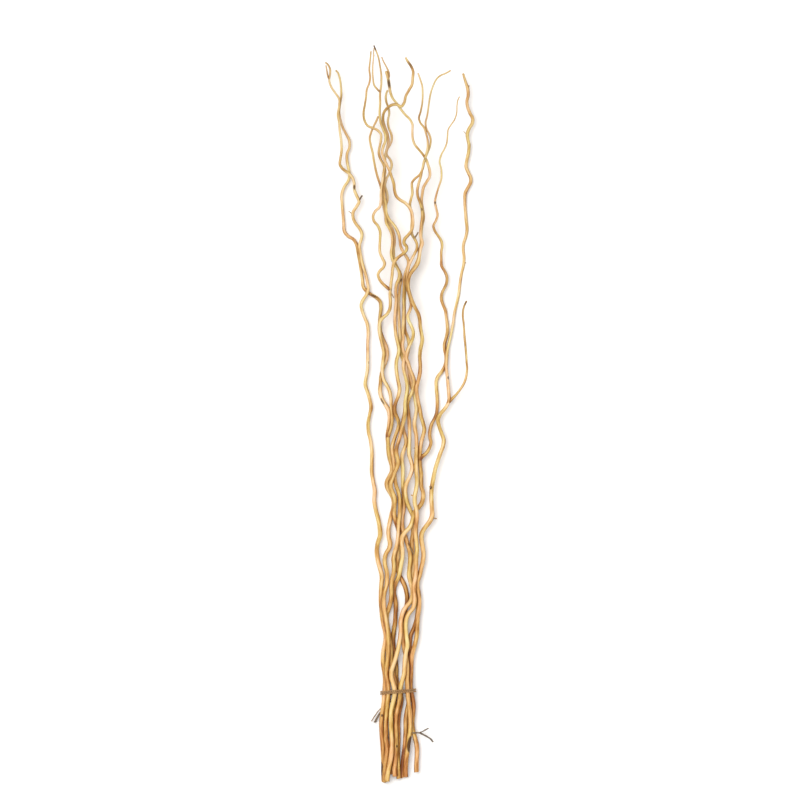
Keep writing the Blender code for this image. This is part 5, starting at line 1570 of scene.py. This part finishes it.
@dataclass
class TwineTie:
    """The twine: windings round the tied stems, the knot under them, its two tails and loose fibres."""

    bundle: Bundle
    sides: int = 26
    step: float = 0.7
    waves: tuple[Point2, ...] = ((0.35, 17.0), (0.2, 7.3))
    ply_pitch: float = 9.5
    ply_offset: float = 0.47
    ply_radius: float = 0.56
    knot_radius: float = 1.6
    knot_reach: Point3 = (2.9, 4.1, 1.8)
    tail_radius: float = 1.7
    tail_clearance: float = 0.3
    tail_points: tuple[Point3, ...] = (
        (1.2, -2.0, 1.0), (2.6, -9.0, 0.5), (4.4, -16.0, 0.0), (4.0, -23.0, 0.0),
    )
    fibres: int = 260
    fibre_sizes: Point2 = (1.6, 5.5)
    fibre_radius: float = 0.11
    fibre_rings: int = 6
    fibre_sides: int = 3

    def _outline(self) -> Array:
        """Tight outline of the twine's middle round the tied stems, as (x, z), once round from the knot.

        For each direction the stem point that reaches furthest is found, and the twine's middle lies a
        twine radius and the seat beyond it. The hull's flat runs are straight.
        """
        stems = [line for line in self.bundle.lines.values() if line.course.parent is None]
        centres = np.concatenate([np.column_stack([line.x, line.z])[line.tied()] for line in stems])
        radii = np.concatenate([line.radius[line.tied()] for line in stems])
        angle = np.linspace(-math.pi, math.pi, TIE.outline_angles, endpoint=False)
        out = np.column_stack([np.cos(angle), np.sin(angle)])
        touched = np.argmax(out @ centres.T + radii, axis=1)
        ring = centres[touched] + (radii[touched] + TIE.radius + TIE.seat)[:, None] * out
        under = (ring[:-1, 0] < TIE.knot_x) & (ring[1:, 0] >= TIE.knot_x) & (angle[:-1] < 0)
        split = int(np.nonzero(under)[0][0])
        share = (TIE.knot_x - ring[split, 0]) / (ring[split + 1, 0] - ring[split, 0])
        knot = ring[split] + share * (ring[split + 1] - ring[split])
        return np.concatenate([[knot], ring[split + 1 :], ring[: split + 1], [knot]])

    def windings(self) -> Array:
        """Line of the twine, as (x, y, z, radius) every step: the outline gone round side by side."""
        once = self._outline()
        ring = np.concatenate([once] + [once[1:]] * (TIE.turns - 1))
        along = run_length(ring)
        at = np.linspace(0, along[-1], int(along[-1] / self.step))
        x, z = np.interp(at, along, ring[:, 0]), np.interp(at, along, ring[:, 1])
        wave = sum(height * np.sin(at / run) for height, run in self.waves)
        y = TIE.y + TIE.tilt * x + TIE.pitch * TIE.turns * (at / along[-1] - 0.5) + wave
        return np.column_stack([x, y, z, np.full(len(at), TIE.radius)])

    def _cord(self, line: Array, reference: Point3, seed: int) -> Skin:
        """Two plies twisted round each other, as one surface.

        Relief = radius * (o |cos t| + sqrt(p^2 - (o sin t)^2)), the outline of two circles of radius p that
        stand o from the middle, with t the angle less the twist at that place, and fine ridges along the
        plies.

        Args:
            line: (n, 4) points with the radius.
            reference: direction that the line never runs along.
            seed: seed of the ridges' phases.

        Returns:
            The closed skin.
        """
        tube = Tube(line, self.sides, reference, WORN_END, WORN_END)
        rng = np.random.default_rng(seed)
        twist = FULL_TURN * tube.along[:, None] / self.ply_pitch
        t = tube.angle[None, :] - twist
        offset = self.ply_offset
        lobes = offset * np.abs(np.cos(t)) + np.sqrt(self.ply_radius**2 - (offset * np.sin(t)) ** 2)
        ridges = 0.02 * np.cos(10 * t + 2.1 * twist + rng.uniform(0, 6))
        ridges = ridges + 0.015 * np.sin(tube.along / 1.7)[:, None]
        tube.relief = tube.line[:, 3:4] * (lobes + ridges)
        tube.set_value("proud", lobes)
        return tube.skin(space_shift=401.0 * seed, twist=-FULL_TURN / self.ply_pitch)

    def _knot(self, middle: Array) -> Skin:
        """The knot: a cord along the line (2 + cos 3t)(cos 2t, sin 2t) in plan and sin 3t in height."""
        t = np.linspace(0.2, FULL_TURN + 0.1, 90)
        wide = (2 + np.cos(3 * t)) / 3
        line = np.column_stack([wide * np.cos(2 * t), wide * np.sin(2 * t), np.sin(3 * t)])
        line = line * np.array(self.knot_reach) + middle
        return self._cord(np.column_stack([line, np.full(len(line), self.knot_radius)]), (0, 0, 1), 7)

    def tail(self, middle: Array, side: float) -> Array:
        """Line of one of the knot's tails, which sinks to the surface under the stems."""
        low = self.tail_radius + self.tail_clearance
        x, y, z = middle
        out, back, share = np.array(self.tail_points).T
        points = np.column_stack([x + side * out, y + back, low + share * (z - low)])
        fine = smooth_line(points, self.step)
        return np.column_stack([fine, np.full(len(fine), self.tail_radius)])

    def _loose_fibres(self, line: Array, count: int, seed: int) -> Skin:
        """Thin fibres that stand out of the twine.

        Each is a line base + length * (share * direction + share^2 * droop) with a three-sided profile
        that thins to nothing, all worked out as one array of fibres, rings and sides.

        Args:
            line: (n, 4) points of the twine that they grow from.
            count: how many fibres.
            seed: seed of the draws.

        Returns:
            One skin that holds all fibres.
        """
        rng = np.random.default_rng(seed)
        tube = Tube(line, 4, (0, 1, 0), WORN_END, WORN_END)
        ring = rng.integers(2, len(line) - 2, count)
        turn = rng.uniform(0, FULL_TURN, count)
        out = np.cos(turn)[:, None] * tube.side[ring] + np.sin(turn)[:, None] * tube.up[ring]
        lengthwise = rng.choice([-1, 1], count)[:, None] * tube.tangent[ring]
        way = unit(0.55 * out + lengthwise + rng.normal(0, 0.3, (count, 3)))
        droop = 0.5 * rng.normal(0, 0.5, (count, 3)) - 0.15 * out
        length = rng.uniform(*self.fibre_sizes, count)
        share = np.linspace(0, 1, self.fibre_rings)
        bend = share[None, :, None] * way[:, None, :] + share[None, :, None] ** 2 * droop[:, None, :]
        base = line[ring, :3] + 0.75 * line[ring, 3:4] * out
        centre = base[:, None, :] + length[:, None, None] * bend
        wide = self.fibre_radius * (1 - 0.75 * share)
        side = unit(np.cross(way, out + 0.01))
        up = np.cross(side, way)
        angle = np.arange(self.fibre_sides) * FULL_TURN / self.fibre_sides
        across, upward = np.cos(angle)[None, :, None], np.sin(angle)[None, :, None]
        around = across * side[:, None, :] + upward * up[:, None, :]
        points = centre[:, :, None, :] + wide[None, :, None, None] * around[:, None, :, :]
        grid = np.arange(count * self.fibre_rings * self.fibre_sides)
        grid = grid.reshape(count, self.fibre_rings, self.fibre_sides)
        nxt = np.roll(grid, -1, axis=2)
        quads = np.stack([grid[:, :-1], grid[:, 1:], nxt[:, 1:], nxt[:, :-1]], axis=-1).reshape(-1, 4)
        triangles = np.concatenate([grid[:, 0, :], grid[:, -1, ::-1]])
        flat = points.reshape(-1, 3)
        grain = np.tile(flat[:, :1], (1, 3)) * (0.2, 0.3, 0.1)
        return Skin(flat, quads, triangles, np.zeros((quads.size, 2)), np.zeros((triangles.size, 2)), grain, {
            "proud": np.full(len(flat), 1.05), "core": np.ones(len(flat)),
        })

    def build(self, finish: bpy.types.Material) -> bpy.types.Object:
        """Builds the tie, dresses it and puts it in its node's place.

        Args:
            finish: the material that the twine wears.

        Returns:
            The finished piece.
        """
        line = self.windings()
        middle = 0.5 * (line[0, :3] + line[-1, :3])
        tails = [self.tail(middle, side) for side in (-1.0, 1.0)]
        skins = [self._cord(line, (0, 1, 0), 3), self._knot(middle)]
        skins += [self._cord(tail, (0, 0, 1), 11 + place) for place, tail in enumerate(tails)]
        skins.append(self._loose_fibres(line, self.fibres, 5))
        piece = mesh_object("twine_windings", skins)
        piece.data.materials.append(finish)
        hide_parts("twine_tie")
        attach(piece, "root")
        LOG.info("twine in the windings: %.0f mm", run_length(line[:, :3])[-1])
        return piece


@dataclass
class Studio:
    """The pale floor, the soft lights and the camera straight above."""

    floor_side: float = 90.0
    camera_height: float = 60.0
    frame_width: float = 1.9352
    aim: Point2 = (0.0011, 0.0341)
    sharp_height: float = 0.03
    floor_drop: float = 0.0002
    key_strength: float = 2.6
    key_spread: float = 42.0
    key_turn: Point3 = (-9.0, -13.0, 0.0)
    key_tint: Colour = (1.0, 0.985, 0.96)
    fill_strength: float = 0.3
    fill_spread: float = 70.0
    fill_turn: Point3 = (24.0, 30.0, 0.0)
    fill_tint: Colour = (0.97, 0.985, 1.0)
    world_strength: float = 0.52
    sensor_width: float = 36.0
    sight: float = 200.0

    def floor(self, finish: bpy.types.Material) -> None:
        """Lays the floor just under the bundle."""
        half = 0.5 * self.floor_side
        corners = [(x * half, y * half, -self.floor_drop) for x, y in ((-1, -1), (1, -1), (1, 1), (-1, 1))]
        mesh = bpy.data.meshes.new("pale_floor")
        mesh.from_pydata(corners, [], [(0, 1, 2, 3)])
        mesh.materials.append(finish)
        made = bpy.data.objects.new("pale_floor", mesh)
        bpy.context.scene.collection.objects.link(made)

    def sun(self, name: str, strength: float, spread: float, turn: Point3, tint: Colour) -> None:
        """Hangs a broad, far light.

        Args:
            name: name of the light.
            strength: its strength.
            spread: how wide it looks from the floor, in degrees; wide gives soft shadows.
            turn: its turn in degrees.
            tint: its colour.
        """
        light = bpy.data.lights.new(name, "SUN")
        light.energy, light.angle, light.color = strength, math.radians(spread), tint
        made = bpy.data.objects.new(name, light)
        made.rotation_euler = Euler([math.radians(t) for t in turn])
        bpy.context.scene.collection.objects.link(made)

    def camera(self) -> None:
        """Hangs the camera straight above, so far up that the raised tips hardly shift in the picture."""
        data = bpy.data.cameras.new("camera")
        data.sensor_width = self.sensor_width
        data.lens = data.sensor_width * (self.camera_height - self.sharp_height) / self.frame_width
        data.clip_end = self.sight
        made = bpy.data.objects.new("camera", data)
        made.location = (*self.aim, self.camera_height)
        bpy.context.scene.collection.objects.link(made)
        bpy.context.scene.camera = made

    def build(self, finish: bpy.types.Material) -> None:
        """Sets floor, lights, surroundings, colour view and camera."""
        self.floor(finish)
        self.sun("key_light", self.key_strength, self.key_spread, self.key_turn, self.key_tint)
        self.sun("fill_light", self.fill_strength, self.fill_spread, self.fill_turn, self.fill_tint)
        world = bpy.data.worlds.new("soft_surroundings")
        world.use_nodes = True
        background = world.node_tree.nodes["Background"]
        background.inputs["Color"].default_value = (1.0, 1.0, 1.0, 1.0)
        background.inputs["Strength"].default_value = self.world_strength
        bpy.context.scene.world = world
        bpy.context.scene.view_settings.view_transform = "Standard"
        self.camera()


def main() -> None:
    """Builds every piece in order and reports each."""
    logging.basicConfig(level=logging.INFO, format="%(message)s")
    bundle = Bundle()
    finishes = {
        Slot.PEELED: PeeledWood().build(),
        Slot.PALE: PeeledWood(name="pale_willow_wood", lift=0.05).build(),
        Slot.TWINE: Twine().build(),
    }
    stems = [name for name, course in COURSES.items() if course.parent is None]
    for number, name in enumerate(stems, 1):
        slot = Slot.PALE if name == "stem_3" else Slot.PEELED
        piece = WillowStem(name, number, bundle, slot).build(finishes[slot])
        LOG.info("%s: %d faces", piece.name, len(piece.data.polygons))
    piece = TwineTie(bundle).build(finishes[Slot.TWINE])
    LOG.info("%s: %d faces", piece.name, len(piece.data.polygons))
    Studio().build(PaleFloor().build())


if __name__ == "__main__":
    main()
